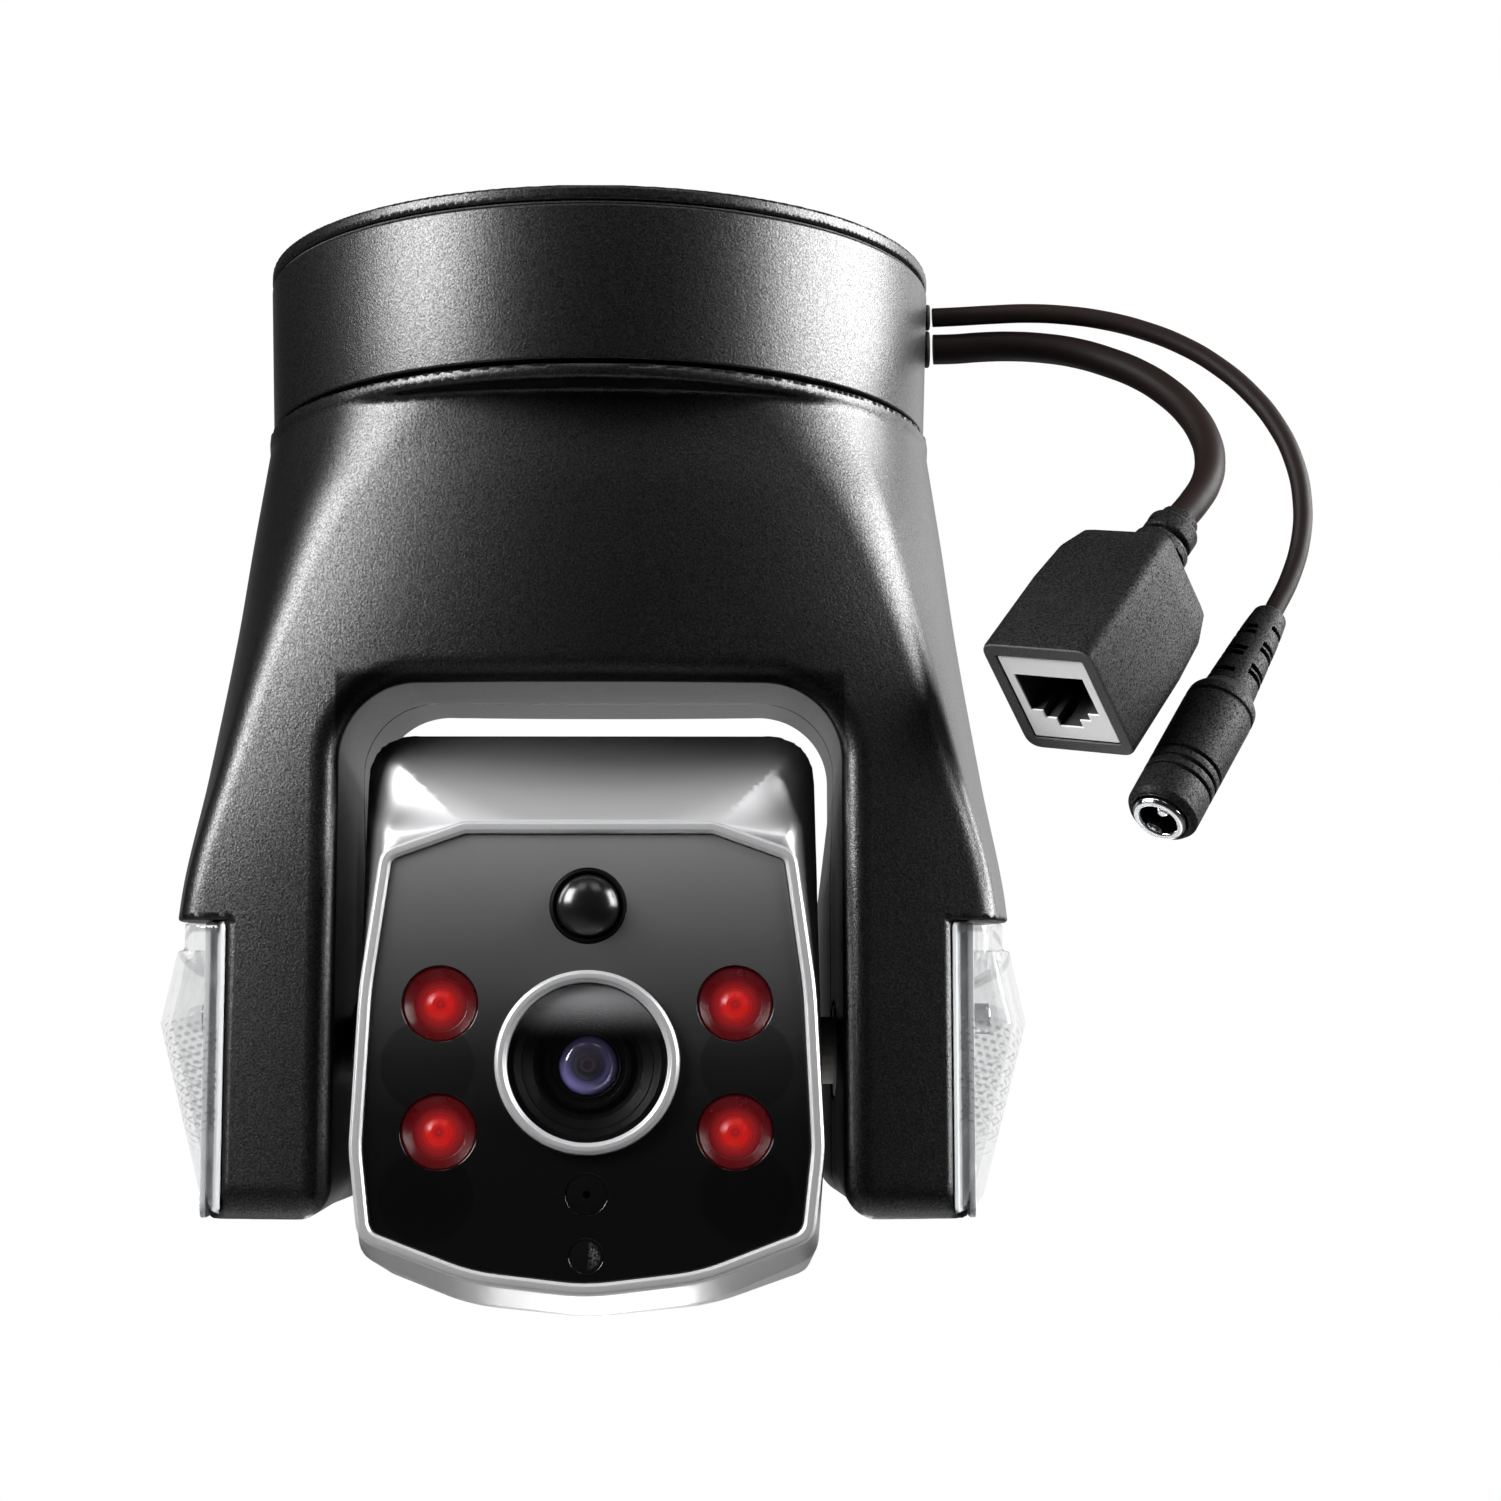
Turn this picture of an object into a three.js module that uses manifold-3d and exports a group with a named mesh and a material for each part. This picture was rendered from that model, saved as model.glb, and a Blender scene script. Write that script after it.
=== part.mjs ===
// Ceiling-hung pan and tilt security camera.
// Millimetres. Origin at the centre of the ceiling face, +Z up, -Y towards the front, +X right.
// Bodies: a fixed base, a yoke that pans under it, a head that tilts between the yoke's arms,
// and one pinion for each drive. Two pigtail leads leave the base on its right side.

import * as THREE from 'three';
import { mergeVertices } from 'three/addons/utils/BufferGeometryUtils.js';
import Module from 'manifold-3d';

const wasm = await Module();
wasm.setup();

// ---------------------------------------------------------------- driving dimensions

const WALL = 2.4; // moulded wall
const FIT = 0.3; // gap between pieces fitted face to face
const RUNNING = 0.15; // radial clearance of a running fit

// Base
const BASE_R = 50;
const BASE_FOOT_R = 49.3; // the drum's slight draft ends here
const PLATE_T = 2.2;
const GASKET_T = 0.3;
const DRUM_TOP_Z = -PLATE_T - GASKET_T - 0.2;
const DRUM_FLOOR_Z = -25.3; // underside of the drum
const CEILING_SCREW_R = 2.3;
const CEILING_SCREW_PCD = 70;
const LOCK_SCREW_Z = -6;

// Pan drive
const HUB_R = 13;
const HUB_BORE_R = 6;
const PAN_MODULE = 1.2;
const PAN_GEAR_TEETH = 40;
const PAN_PINION_TEETH = 10;
const PAN_GEAR_Z = [-21.7, -18.4];
const SHAFT_R = 1.5;
const PAN_MOTOR_R = 10;
const PAN_MOTOR_Z = [-17.6, -8.5];

// Yoke
const YOKE_TOP_Z = -25.9;
const RIM_R = 49.4;
const RIM_FOOT_Z = -28.1;
const ARM_FOOT_Z = -140.9; // at the pan axis
const ARM_OUTER_X = 53; // flat outer face that carries the lamp
const LAMP_TOP_Z = -99; // ledge over the lamp, at the pan axis
const ARCH_HALF_WIDTH = 35.5;
const ARCH_TOP_Z = -65.3; // on the pan axis
const ARCH_SLOPE = 0.12; // the arch, the lamps and the feet rise towards the rear
const ARCH_CORNER_R = 13;
const SPLIT_Y = 5; // joint between the front and rear shells
// Plan section at each height: half width, half width of the front and rear faces as far as
// the crease, distance of the creases from the pan axis, and how far the faces bulge beyond it.
const YOKE_SECTIONS = [
  { z: -148, half: 62.1, flat: 59.2, face: 37, bulge: 7.5 },
  { z: -99, half: 60.8, flat: 56.6, face: 37, bulge: 8 },
  { z: -80, half: 57.5, flat: 51.5, face: 37, bulge: 8.5 },
  { z: -58, half: 53.9, flat: 45, face: 37, bulge: 9 },
  { z: -43, half: 51.9, flat: 39.5, face: 37.4, bulge: 7.8 },
  { z: -34, half: 50.6, flat: 34.5, face: 37.8, bulge: 6.3 },
  { z: -28, half: 49.7, flat: 31.5, face: 38, bulge: 5.5 },
];
const YOKE_SCREWS = [[-34, -48], [34, -48], [-42.4, -129.5], [42.4, -129.5]];

// Lamps, on the arms' outer faces
const LAMP_PLATE_X = [ARM_OUTER_X + 0.15, ARM_OUTER_X + 0.95];
const LAMP_COVER_X = LAMP_PLATE_X[1] + 0.15;
const LAMP_COVER_WALL = 1.5;
const LAMP_HALF_DEPTH = 35;
const LAMP_LED_R = 2.3;
const LAMP_LED_Z = -113.3;
const LAMP_LED_HOLE_R = LAMP_LED_R + FIT;

// Tilt drive and head. Head dimensions are from the tilt axis.
const TILT_Z = -118;
const AXLE_R = 5;
const AXLE_BORE_R = 3;
const TILT_BUSH_HOLE_R = 7;
const TILT_MODULE = 1;
const TILT_GEAR_TEETH = 36;
const TILT_PINION_TEETH = 10;
const TILT_GEAR_X = [47.3, 50.1];
const TILT_MOTOR_R = 10;
const TILT_MOTOR_X = [38.2, 46.5];
const HEAD_FRONT_Y = -42.4; // front rim of the head shell
const BEZEL_Y = [-45, -42.7];
const BEZEL_WIDTH = 1.8;
const PANEL_Y = [-44.3, -42.9];
const LENS_Z = -6.2;
const LENS_WINDOW_Y = [-44.2, -43.4];
const MOTION_Z = 15.6;
const IR_X = 20.4;
const IR_ROWS_Z = [2, -15.7];
const MICROPHONE_Z = -24.3;
const LIGHT_SENSOR_Z = -32.7;
const LED_BOARD_Y = [-40.5, -39];

// Leads
const NETWORK_CABLE_R = 2.3;
const POWER_CABLE_R = 1.45;
const NETWORK_EXIT = [3, -9.5]; // y, z of the hole in the drum's right side
const POWER_EXIT = [1, -5];

// ---------------------------------------------------------------- solids

// Any closed geometry as a manifold solid, with shared vertices and outward faces.
function solid(shape) {
  if (!shape.isBufferGeometry) {
    return shape;
  }
  const bare = shape.clone();
  bare.deleteAttribute('normal');
  bare.deleteAttribute('uv');
  const merged = mergeVertices(bare, 1e-4);
  const points = merged.attributes.position.array;
  const index = merged.index.array;
  const triangles = [];
  let volume = 0;
  for (let i = 0; i < index.length; i += 3) {
    const corners = [index[i], index[i + 1], index[i + 2]];
    if (new Set(corners).size === 3) {
      const [a, b, c] = corners.map((k) => new THREE.Vector3().fromArray(points, 3 * k));
      volume += a.dot(b.cross(c));
      triangles.push(...corners);
    }
  }
  if (volume < 0) {
    triangles.reverse();
  }
  return new wasm.Manifold(new wasm.Mesh({
    numProp: 3,
    vertProperties: Float32Array.from(points),
    triVerts: Uint32Array.from(triangles),
  }));
}

const join = (...shapes) => shapes.map(solid).reduce((sum, next) => sum.add(next));
const cut = (...shapes) => shapes.map(solid).reduce((rest, next) => rest.subtract(next));
const common = (...shapes) => shapes.map(solid).reduce((both, next) => both.intersect(next));

function geometryOf(shape) {
  const mesh = solid(shape).getMesh();
  const geometry = new THREE.BufferGeometry();
  geometry.setAttribute('position', new THREE.BufferAttribute(mesh.vertProperties, 3));
  geometry.setIndex(new THREE.BufferAttribute(mesh.triVerts, 1));
  geometry.computeVertexNormals();
  return geometry;
}

const extrude = (shape, depth, curveSegments) => new THREE.ExtrudeGeometry(
  shape,
  { depth, bevelEnabled: false, curveSegments },
);

// Prism of an (x, y) outline between two heights.
function prismZ(shape, [low, high], curveSegments = 8) {
  return extrude(shape, high - low, curveSegments).translate(0, 0, low);
}

// Prism of an (x, z) outline between two depths.
function prismY(shape, [front, rear], curveSegments = 8) {
  return extrude(shape, rear - front, curveSegments).rotateX(Math.PI / 2).translate(0, rear, 0);
}

// Prism of a (y, z) outline between two x values.
function prismX(shape, [low, high], curveSegments = 8) {
  const basis = new THREE.Matrix4().makeBasis(
    new THREE.Vector3(0, 1, 0),
    new THREE.Vector3(0, 0, 1),
    new THREE.Vector3(1, 0, 0),
  );
  return extrude(shape, high - low, curveSegments).applyMatrix4(basis).translate(low, 0, 0);
}

const box = ([x0, x1], [y0, y1], [z0, z1]) => new THREE.BoxGeometry(x1 - x0, y1 - y0, z1 - z0)
  .translate((x0 + x1) / 2, (y0 + y1) / 2, (z0 + z1) / 2);

// Turned piece about +Z from [radius, height] points. A profile off the axis closes on itself.
function turned(profile, segments = 24) {
  const points = profile.map(([radius, height]) => new THREE.Vector2(radius, height));
  const onAxis = profile[0][0] === 0 && profile[profile.length - 1][0] === 0;
  if (!onAxis) {
    points.push(points[0].clone());
  }
  return new THREE.LatheGeometry(points, segments).rotateX(Math.PI / 2);
}

// The same with its axis along +X or towards the front, through a point.
function turnedX(profile, [y, z], segments = 24) {
  return turned(profile, segments).rotateY(Math.PI / 2).translate(0, y, z);
}

function turnedFront(profile, [x, z], segments = 24) {
  return turned(profile, segments).rotateX(Math.PI / 2).translate(x, 0, z);
}

const rod = (radius, [low, high], segments = 24) => turned(
  [[0, low], [radius, low], [radius, high], [0, high]],
  segments,
);

const rodX = (radius, span, centre, segments = 24) => turnedX(
  [[0, span[0]], [radius, span[0]], [radius, span[1]], [0, span[1]]],
  centre,
  segments,
);

// A rod along Y. Profiles that face the front count their heights towards -Y.
const rodY = (radius, [front, rear], centre, segments = 24) => turnedFront(
  [[0, -rear], [radius, -rear], [radius, -front], [0, -front]],
  centre,
  segments,
);

// ---------------------------------------------------------------- outlines

// Closed outline from [x, y, corner radius] points.
function outline(corners) {
  const shape = new THREE.Shape();
  const count = corners.length;
  corners.forEach(([x, y, radius = 0], i) => {
    const here = new THREE.Vector2(x, y);
    const before = new THREE.Vector2(...corners[(i + count - 1) % count].slice(0, 2)).sub(here);
    const after = new THREE.Vector2(...corners[(i + 1) % count].slice(0, 2)).sub(here);
    const half = before.angleTo(after) / 2;
    const reach = Math.min(radius / Math.tan(half), 0.49 * before.length(), 0.49 * after.length());
    const start = before.setLength(reach).add(here);
    const end = after.setLength(reach).add(here);
    if (i === 0) {
      shape.moveTo(start.x, start.y);
    } else {
      shape.lineTo(start.x, start.y);
    }
    if (radius > 0) {
      shape.quadraticCurveTo(here.x, here.y, end.x, end.y);
    }
  });
  shape.closePath();
  return shape;
}

// The same corners moved inwards by a distance. They run anticlockwise.
function inset(corners, distance) {
  const count = corners.length;
  return corners.map(([x, y, radius = 0], i) => {
    const here = new THREE.Vector2(x, y);
    const arrive = here.clone().sub(new THREE.Vector2(...corners[(i + count - 1) % count]));
    const leave = new THREE.Vector2(...corners[(i + 1) % count]).sub(here);
    const normals = [arrive, leave].map((edge) => new THREE.Vector2(-edge.y, edge.x).normalize());
    const middle = normals[0].clone().add(normals[1]).normalize();
    here.addScaledVector(middle, distance / middle.dot(normals[0]));
    return [here.x, here.y, Math.max(radius - distance, 0)];
  });
}

const rectangle = ([x0, x1], [y0, y1], radius = 0) => outline(
  [[x0, y0, radius], [x1, y0, radius], [x1, y1, radius], [x0, y1, radius]],
);

// Spur gear outline with straight flanks and one tooth centred at the angle phase.
// The teeth are slightly thin, so that a pair runs free.
function gearShape(teeth, module, phase) {
  const pitchR = module * teeth / 2;
  const half = Math.PI * module / 4 - 0.11 * module;
  const slope = Math.tan(THREE.MathUtils.degToRad(20));
  const addendum = 0.78 * module;
  const dedendum = module;
  const shape = new THREE.Shape();
  for (let tooth = 0; tooth < teeth; tooth += 1) {
    const middle = phase + 2 * Math.PI * tooth / teeth;
    const flank = [[-dedendum, -1], [addendum, -1], [addendum, 1], [-dedendum, 1]];
    flank.forEach(([height, side], k) => {
      const angle = middle + side * (half - height * slope) / pitchR;
      const radius = pitchR + height;
      const method = tooth === 0 && k === 0 ? 'moveTo' : 'lineTo';
      shape[method](radius * Math.cos(angle), radius * Math.sin(angle));
    });
  }
  shape.closePath();
  return shape;
}

// A gear has a tooth centred at 90 degrees. Its pinion sits there, with a gap facing back to it.
const wheelShape = (teeth, module) => gearShape(teeth, module, Math.PI / 2);
const pinionShape = (teeth, module) => gearShape(teeth, module, Math.PI / teeth - Math.PI / 2);

// Closed skin over level rings of points, each anticlockwise from above, lowest ring first.
function loft(rings) {
  const size = rings[0].length;
  const middleOf = (ring) => ring.reduce((sum, p) => sum.add(p), new THREE.Vector3())
    .divideScalar(size);
  const points = [...rings.flat(), middleOf(rings[0]), middleOf(rings[rings.length - 1])];
  const lowMiddle = points.length - 2;
  const highMiddle = points.length - 1;
  const index = [];
  for (let j = 0; j < size; j += 1) {
    const next = (j + 1) % size;
    index.push(lowMiddle, next, j);
    const top = (rings.length - 1) * size;
    index.push(highMiddle, top + j, top + next);
    for (let i = 0; i < rings.length - 1; i += 1) {
      const low = i * size;
      const high = low + size;
      index.push(low + j, low + next, high + next, low + j, high + next, high + j);
    }
  }
  const geometry = new THREE.BufferGeometry().setFromPoints(points);
  geometry.setIndex(index);
  return geometry;
}

// ---------------------------------------------------------------- materials

const plastic = (color, roughness) => new THREE.MeshStandardMaterial(
  { color, roughness, metalness: 0 },
);
const metal = (color, roughness) => new THREE.MeshStandardMaterial(
  { color, roughness, metalness: 1 },
);
const glassy = (color, opacity) => new THREE.MeshStandardMaterial(
  { color, roughness: 0.05, metalness: 0, transparent: true, opacity },
);

const MATERIALS = {
  casing: plastic(0x1c1c1e, 0.55),
  headShell: plastic(0x2b2c2e, 0.4),
  satinSilver: metal(0xb9bcc0, 0.35),
  panel: plastic(0x050506, 0.08),
  blackRubber: plastic(0x0c0c0d, 0.8),
  cable: plastic(0x1d1513, 0.6),
  connector: plastic(0x151617, 0.65),
  socketPlate: plastic(0xe9eaec, 0.35),
  chrome: metal(0xd8dadc, 0.12),
  steel: metal(0x9a9c9e, 0.4),
  brass: metal(0xb5924c, 0.35),
  acetal: plastic(0xe8e6df, 0.5),
  board: plastic(0x14502c, 0.5),
  whitePlate: plastic(0xf0f2f4, 0.4),
  clear: glassy(0xf4f7fa, 0.35),
  redWindow: glassy(0xb00508, 0.9),
  lensGlass: glassy(0x2a2740, 0.8),
  smokedDome: plastic(0x08090a, 0.06),
  ledBody: glassy(0x30060a, 0.9),
};

const camera = new THREE.Group();

function add(group, name, shape, material) {
  const mesh = new THREE.Mesh(geometryOf(shape), MATERIALS[material]);
  mesh.name = name;
  group.add(mesh);
  return mesh;
}

// ---------------------------------------------------------------- base

const base = new THREE.Group();
camera.add(base);

function mountingPlate() {
  const disc = rod(BASE_R, [-PLATE_T, 0], 48);
  const lugs = [60, 180, 300].map((degrees) => box([43, 46], [-6, 6], [-4.4, -PLATE_T + 0.2])
    .rotateZ(THREE.MathUtils.degToRad(degrees)));
  const holes = [30, 150, 270].map((degrees) => rod(CEILING_SCREW_R, [-PLATE_T - 1, 1], 16)
    .translate(CEILING_SCREW_PCD / 2, 0, 0)
    .rotateZ(THREE.MathUtils.degToRad(degrees)));
  return cut(join(disc, ...lugs), ...holes);
}

function drum() {
  const innerR = BASE_R - WALL - 0.3;
  const cup = turned([
    [BASE_R, DRUM_TOP_Z],
    [innerR, DRUM_TOP_Z],
    [innerR, DRUM_FLOOR_Z + WALL],
    [HUB_R + 3.2, DRUM_FLOOR_Z + WALL],
    [HUB_R + 3.2, DRUM_FLOOR_Z],
    [BASE_FOOT_R, DRUM_FLOOR_Z],
  ], 48);
  const posts = [-13.5, 13.5].map((x) => rod(2.2, [DRUM_FLOOR_Z + 1, PAN_MOTOR_Z[0] - FIT], 12)
    .translate(x, 34, 0));
  const networkHole = rodX(NETWORK_CABLE_R + 0.4, [40, 60], NETWORK_EXIT, 16);
  const powerHole = rodX(POWER_CABLE_R + 0.35, [40, 60], POWER_EXIT, 16);
  const lockHole = rodY(1.5, [40, 60], [0, LOCK_SCREW_Z], 16);
  return cut(join(cup, ...posts), networkHole, powerHole, lockHole);
}

function lockScrew() {
  const shank = rodY(1.3, [44, 50.3], [0, LOCK_SCREW_Z], 16);
  const head = rodY(2.4, [50.2, 51.4], [0, LOCK_SCREW_Z], 16);
  const drive = box([-0.4, 0.4], [50.9, 52], [LOCK_SCREW_Z - 3, LOCK_SCREW_Z + 3]);
  return cut(join(shank, head), drive);
}

function panMotor() {
  const can = rod(PAN_MOTOR_R, PAN_MOTOR_Z, 24).translate(0, 30, 0);
  const ears = box([-16, 16], [31, 37], [PAN_MOTOR_Z[0], PAN_MOTOR_Z[0] + 1.4]);
  const bore = rod(SHAFT_R + RUNNING, [PAN_MOTOR_Z[0] - 1, PAN_MOTOR_Z[1] - 1.5], 16)
    .translate(0, 30, 0);
  return cut(join(can, ears), bore);
}

function mainBoard() {
  const outlineDisc = rod(37.5, [-10, -8.4], 32);
  return common(outlineDisc, box([-40, 40], [-40, 14], [-11, -7]));
}

// Rubber bush with a lip on each side of the wall, seen as a turned piece along +X.
function grommet(cableR, exit) {
  const inner = BASE_R - WALL - 0.9;
  const outer = BASE_R + 0.05;
  return turnedX([
    [0, inner - 1.2],
    [cableR + 0.35, inner - 1.2],
    [cableR + 0.35, inner],
    [cableR + 0.2, inner],
    [cableR + 0.2, outer],
    [cableR + 0.35, outer],
    [cableR + 0.35, outer + 0.6],
    [0, outer + 0.6],
  ], exit, 16);
}

add(base, 'mounting_plate', mountingPlate(), 'casing');
add(base, 'plate_gasket', turned([
  [46.9, -PLATE_T - GASKET_T - 0.1],
  [49.5, -PLATE_T - GASKET_T - 0.1],
  [49.5, -PLATE_T - 0.1],
  [46.9, -PLATE_T - 0.1],
], 48), 'blackRubber');
add(base, 'base_housing', drum(), 'casing');
add(base, 'plate_lock_screw', lockScrew(), 'steel');
add(base, 'pan_bush', turned([
  [HUB_R + RUNNING, DRUM_FLOOR_Z + 0.1],
  [HUB_R + 2.9, DRUM_FLOOR_Z + 0.1],
  [HUB_R + 2.9, DRUM_FLOOR_Z + WALL + 0.1],
  [18, DRUM_FLOOR_Z + WALL + 0.1],
  [18, -21.9],
  [HUB_R + RUNNING, -21.9],
], 32), 'acetal');
add(base, 'pan_motor', panMotor(), 'steel');
add(base, 'main_board', mainBoard(), 'board');
add(base, 'network_grommet', grommet(NETWORK_CABLE_R, NETWORK_EXIT), 'blackRubber');
add(base, 'power_grommet', grommet(POWER_CABLE_R, POWER_EXIT), 'blackRubber');

// The pinion and the motor's shaft turn together, behind the pan axis.
const panPinion = join(
  prismZ(pinionShape(PAN_PINION_TEETH, PAN_MODULE), PAN_GEAR_Z, 1),
  rod(SHAFT_R, [PAN_GEAR_Z[0] - 0.2, PAN_MOTOR_Z[1] - 2], 16),
);
const panPinionMesh = add(camera, 'pan_pinion', panPinion, 'brass');
panPinionMesh.position.set(0, PAN_MODULE * (PAN_GEAR_TEETH + PAN_PINION_TEETH) / 2, 0);

// ---------------------------------------------------------------- yoke

const yoke = new THREE.Group();
camera.add(yoke);

// Plan section: round sides between gently bulging front and rear faces, drawn in by a wall.
function yokeRing({ z, half, flat, face, bulge }, wall) {
  const width = half - wall;
  const corner = flat - wall;
  const depth = face - wall;
  const radiusY = depth / Math.sqrt(1 - (corner / width) ** 2);
  const reach = Math.asin(depth / radiusY);
  const sideSteps = 8;
  const faceSteps = 8;
  const ring = [];
  [0, Math.PI].forEach((turn) => {
    const sign = Math.cos(turn);
    for (let i = 0; i < sideSteps; i += 1) {
      const angle = -reach + 2 * reach * i / sideSteps;
      ring.push(new THREE.Vector3(
        sign * width * Math.cos(angle),
        sign * radiusY * Math.sin(angle),
        z,
      ));
    }
    for (let i = 0; i < faceSteps; i += 1) {
      const across = 1 - 2 * i / faceSteps;
      ring.push(new THREE.Vector3(
        sign * corner * across,
        sign * (depth + bulge * (1 - across ** 2)),
        z,
      ));
    }
  });
  return ring;
}

const yokeBody = (wall) => loft(YOKE_SECTIONS.map((section) => yokeRing(section, wall)));

const RISE = new THREE.Matrix4().set(1, 0, 0, 0, 0, 1, 0, 0, 0, ARCH_SLOPE, 1, 0, 0, 0, 0, 1);

// The archway, sheared so that it rises to the rear. A wall makes it larger.
function archway(wall) {
  const side = ARCH_HALF_WIDTH + wall;
  const top = ARCH_TOP_Z + wall;
  const radius = ARCH_CORNER_R + wall;
  const shape = outline([
    [-side, ARM_FOOT_Z - 10],
    [side, ARM_FOOT_Z - 10],
    [side, top, radius],
    [-side, top, radius],
  ]);
  return prismY(shape, [-60, 60], 6).applyMatrix4(RISE);
}

// Space outside the arms' flat outer faces and below their feet, sheared like the archway.
function outsideArms(wall) {
  const x = ARM_OUTER_X - wall;
  const ledge = LAMP_TOP_Z + wall;
  const foot = ARM_FOOT_Z + wall;
  const corner = 4 - wall;
  return prismY(outline([
    [-80, -170],
    [80, -170],
    [80, ledge],
    [x, ledge],
    [x, foot, corner],
    [-x, foot, corner],
    [-x, ledge],
    [-80, ledge],
  ]), [-60, 60], 4).applyMatrix4(RISE);
}

function yokeHollow() {
  const roof = box([-80, 80], [-60, 60], [YOKE_TOP_Z - WALL - 0.1, 0]);
  return cut(yokeBody(WALL), archway(WALL), outsideArms(WALL), roof);
}

function yokeShell() {
  const rim = rod(RIM_R, [RIM_FOOT_Z, YOKE_TOP_Z], 48);
  const hubHole = rod(HUB_R + FIT, [-40, -20]);
  const bushHole = rodX(TILT_BUSH_HOLE_R, [-45, 45], [0, TILT_Z], 16);
  const wireHole = rodX(LAMP_LED_HOLE_R, [-60, 60], [0, LAMP_LED_Z], 8);
  const outside = cut(join(rim, yokeBody(0)), archway(0), outsideArms(0));
  return { outside, shell: cut(outside, yokeHollow(), hubHole, bushHole, wireHole) };
}

const { outside: yokeOutside, shell: yokeWhole } = yokeShell();

function yokeHalf(side) {
  const span = side < 0 ? [-60, SPLIT_Y - 0.1] : [SPLIT_Y + 0.1, 60];
  const half = common(yokeWhole, box([-80, 80], span, [-160, 0]));
  const bosses = YOKE_SCREWS.map((place) => common(rodY(4.4, span, place, 10), yokeOutside));
  const bores = YOKE_SCREWS.map((place) => (
    side < 0 ? rodY(1.4, [-12, 10], place, 8) : rodY(1.7, [0, 50], place, 8)
  ));
  const recesses = YOKE_SCREWS.map((place) => rodY(3.2, [35.5, 50], place, 12));
  return cut(join(half, ...bosses), ...bores, ...recesses);
}

function yokeScrew() {
  const head = rodY(2.9, [35.8, 37.8], [0, 0], 16);
  const shank = rodY(1.3, [-9, 36], [0, 0], 12);
  const slot = box([-2.2, 2.2], [37.1, 39], [-0.4, 0.4]);
  const cross = box([-0.4, 0.4], [37.1, 39], [-2.2, 2.2]);
  return cut(join(head, shank), slot, cross);
}

function tiltMotor() {
  const centre = [0, TILT_Z + TILT_MODULE * (TILT_GEAR_TEETH + TILT_PINION_TEETH) / 2];
  const can = rodX(TILT_MOTOR_R, TILT_MOTOR_X, centre, 24);
  const bore = rodX(SHAFT_R + RUNNING, [TILT_MOTOR_X[0] + 1, 50], centre, 16);
  return cut(can, bore);
}

// Flanged plain bearing in the arm's inner wall, for the right arm or mirrored.
function tiltBush(sign) {
  const profile = [
    [AXLE_R + RUNNING, sign * 35.2],
    [6.8, sign * 35.2],
    [6.8, sign * 38.3],
    [8, sign * 38.3],
    [8, sign * 39.2],
    [AXLE_R + RUNNING, sign * 39.2],
  ];
  return turnedX(profile, [0, TILT_Z], 24);
}

add(yoke, 'yoke_front_shell', yokeHalf(-1), 'casing');
add(yoke, 'yoke_rear_shell', yokeHalf(1), 'casing');
YOKE_SCREWS.forEach(([x, z], i) => {
  const screw = add(yoke, `yoke_screw_${i + 1}`, yokeScrew(), 'steel');
  screw.position.set(x, 0, z);
});
add(yoke, 'pan_hub', turned([
  [HUB_BORE_R, -31.2],
  [17, -31.2],
  [17, -28.9],
  [HUB_R, -28.9],
  [HUB_R, -15.5],
  [HUB_BORE_R, -15.5],
], 32), 'acetal');
add(yoke, 'pan_gear', cut(
  prismZ(wheelShape(PAN_GEAR_TEETH, PAN_MODULE), PAN_GEAR_Z, 1),
  rod(HUB_R + 0.2, [-30, -10], 32),
), 'acetal');
add(yoke, 'tilt_motor', tiltMotor(), 'steel');

// ---------------------------------------------------------------- lamps

const LAMP_FRONT = [
  [LAMP_COVER_X, ARM_FOOT_Z + 0.1],
  [56.8, ARM_FOOT_Z + 1.2, 2.5],
  [63.4, -113.8, 1.5],
  [61.2, -103.2, 0.8],
  [60.2, -103.2],
  [60.2, LAMP_TOP_Z - FIT],
  [LAMP_COVER_X, LAMP_TOP_Z - FIT],
];

// Front outline drawn in by a wall, within a plan that follows the yoke's bulging side.
function lampBlock(wall) {
  const front = inset(LAMP_FRONT, wall).map(([x, z, radius]) => (
    x < LAMP_COVER_X + wall + 0.1 ? [LAMP_COVER_X - (wall > 0 ? 1 : 0), z, radius] : [x, z, radius]
  ));
  const depth = LAMP_HALF_DEPTH - wall;
  const plan = new THREE.Shape().absellipse(0, 0, 63.6 - wall, 99 - wall, 0, 2 * Math.PI);
  return common(
    prismY(outline(front), [-depth, depth], 4).applyMatrix4(RISE),
    prismZ(plan, [-150, -80], 32),
  );
}

const lampCover = () => cut(lampBlock(0), lampBlock(LAMP_COVER_WALL));

const lampPlate = () => cut(
  prismX(rectangle([-36.5, 36.5], [ARM_FOOT_Z + 0.2, LAMP_TOP_Z - FIT], 2), LAMP_PLATE_X, 3)
    .applyMatrix4(RISE),
  rodX(LAMP_LED_HOLE_R, [50, 58], [0, LAMP_LED_Z], 12),
);

const lampLed = () => turnedX([
  [0, LAMP_PLATE_X[0] + 0.2],
  [LAMP_LED_R, LAMP_PLATE_X[0] + 0.2],
  [LAMP_LED_R, 59.4],
  [1.6, 60.6],
  [0, 61.1],
], [0, LAMP_LED_Z], 12);

const mirrorX = (shape) => solid(shape).mirror([1, 0, 0]);

[['right', 1, solid], ['left', -1, mirrorX]].forEach(([side, sign, placed]) => {
  add(yoke, `lamp_plate_${side}`, placed(lampPlate()), 'whitePlate');
  add(yoke, `lamp_led_${side}`, placed(lampLed()), 'chrome');
  add(yoke, `lamp_cover_${side}`, placed(lampCover()), 'clear');
  add(yoke, `tilt_bush_${side}`, tiltBush(sign), 'acetal');
});

// ---------------------------------------------------------------- tilt pinion

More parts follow.
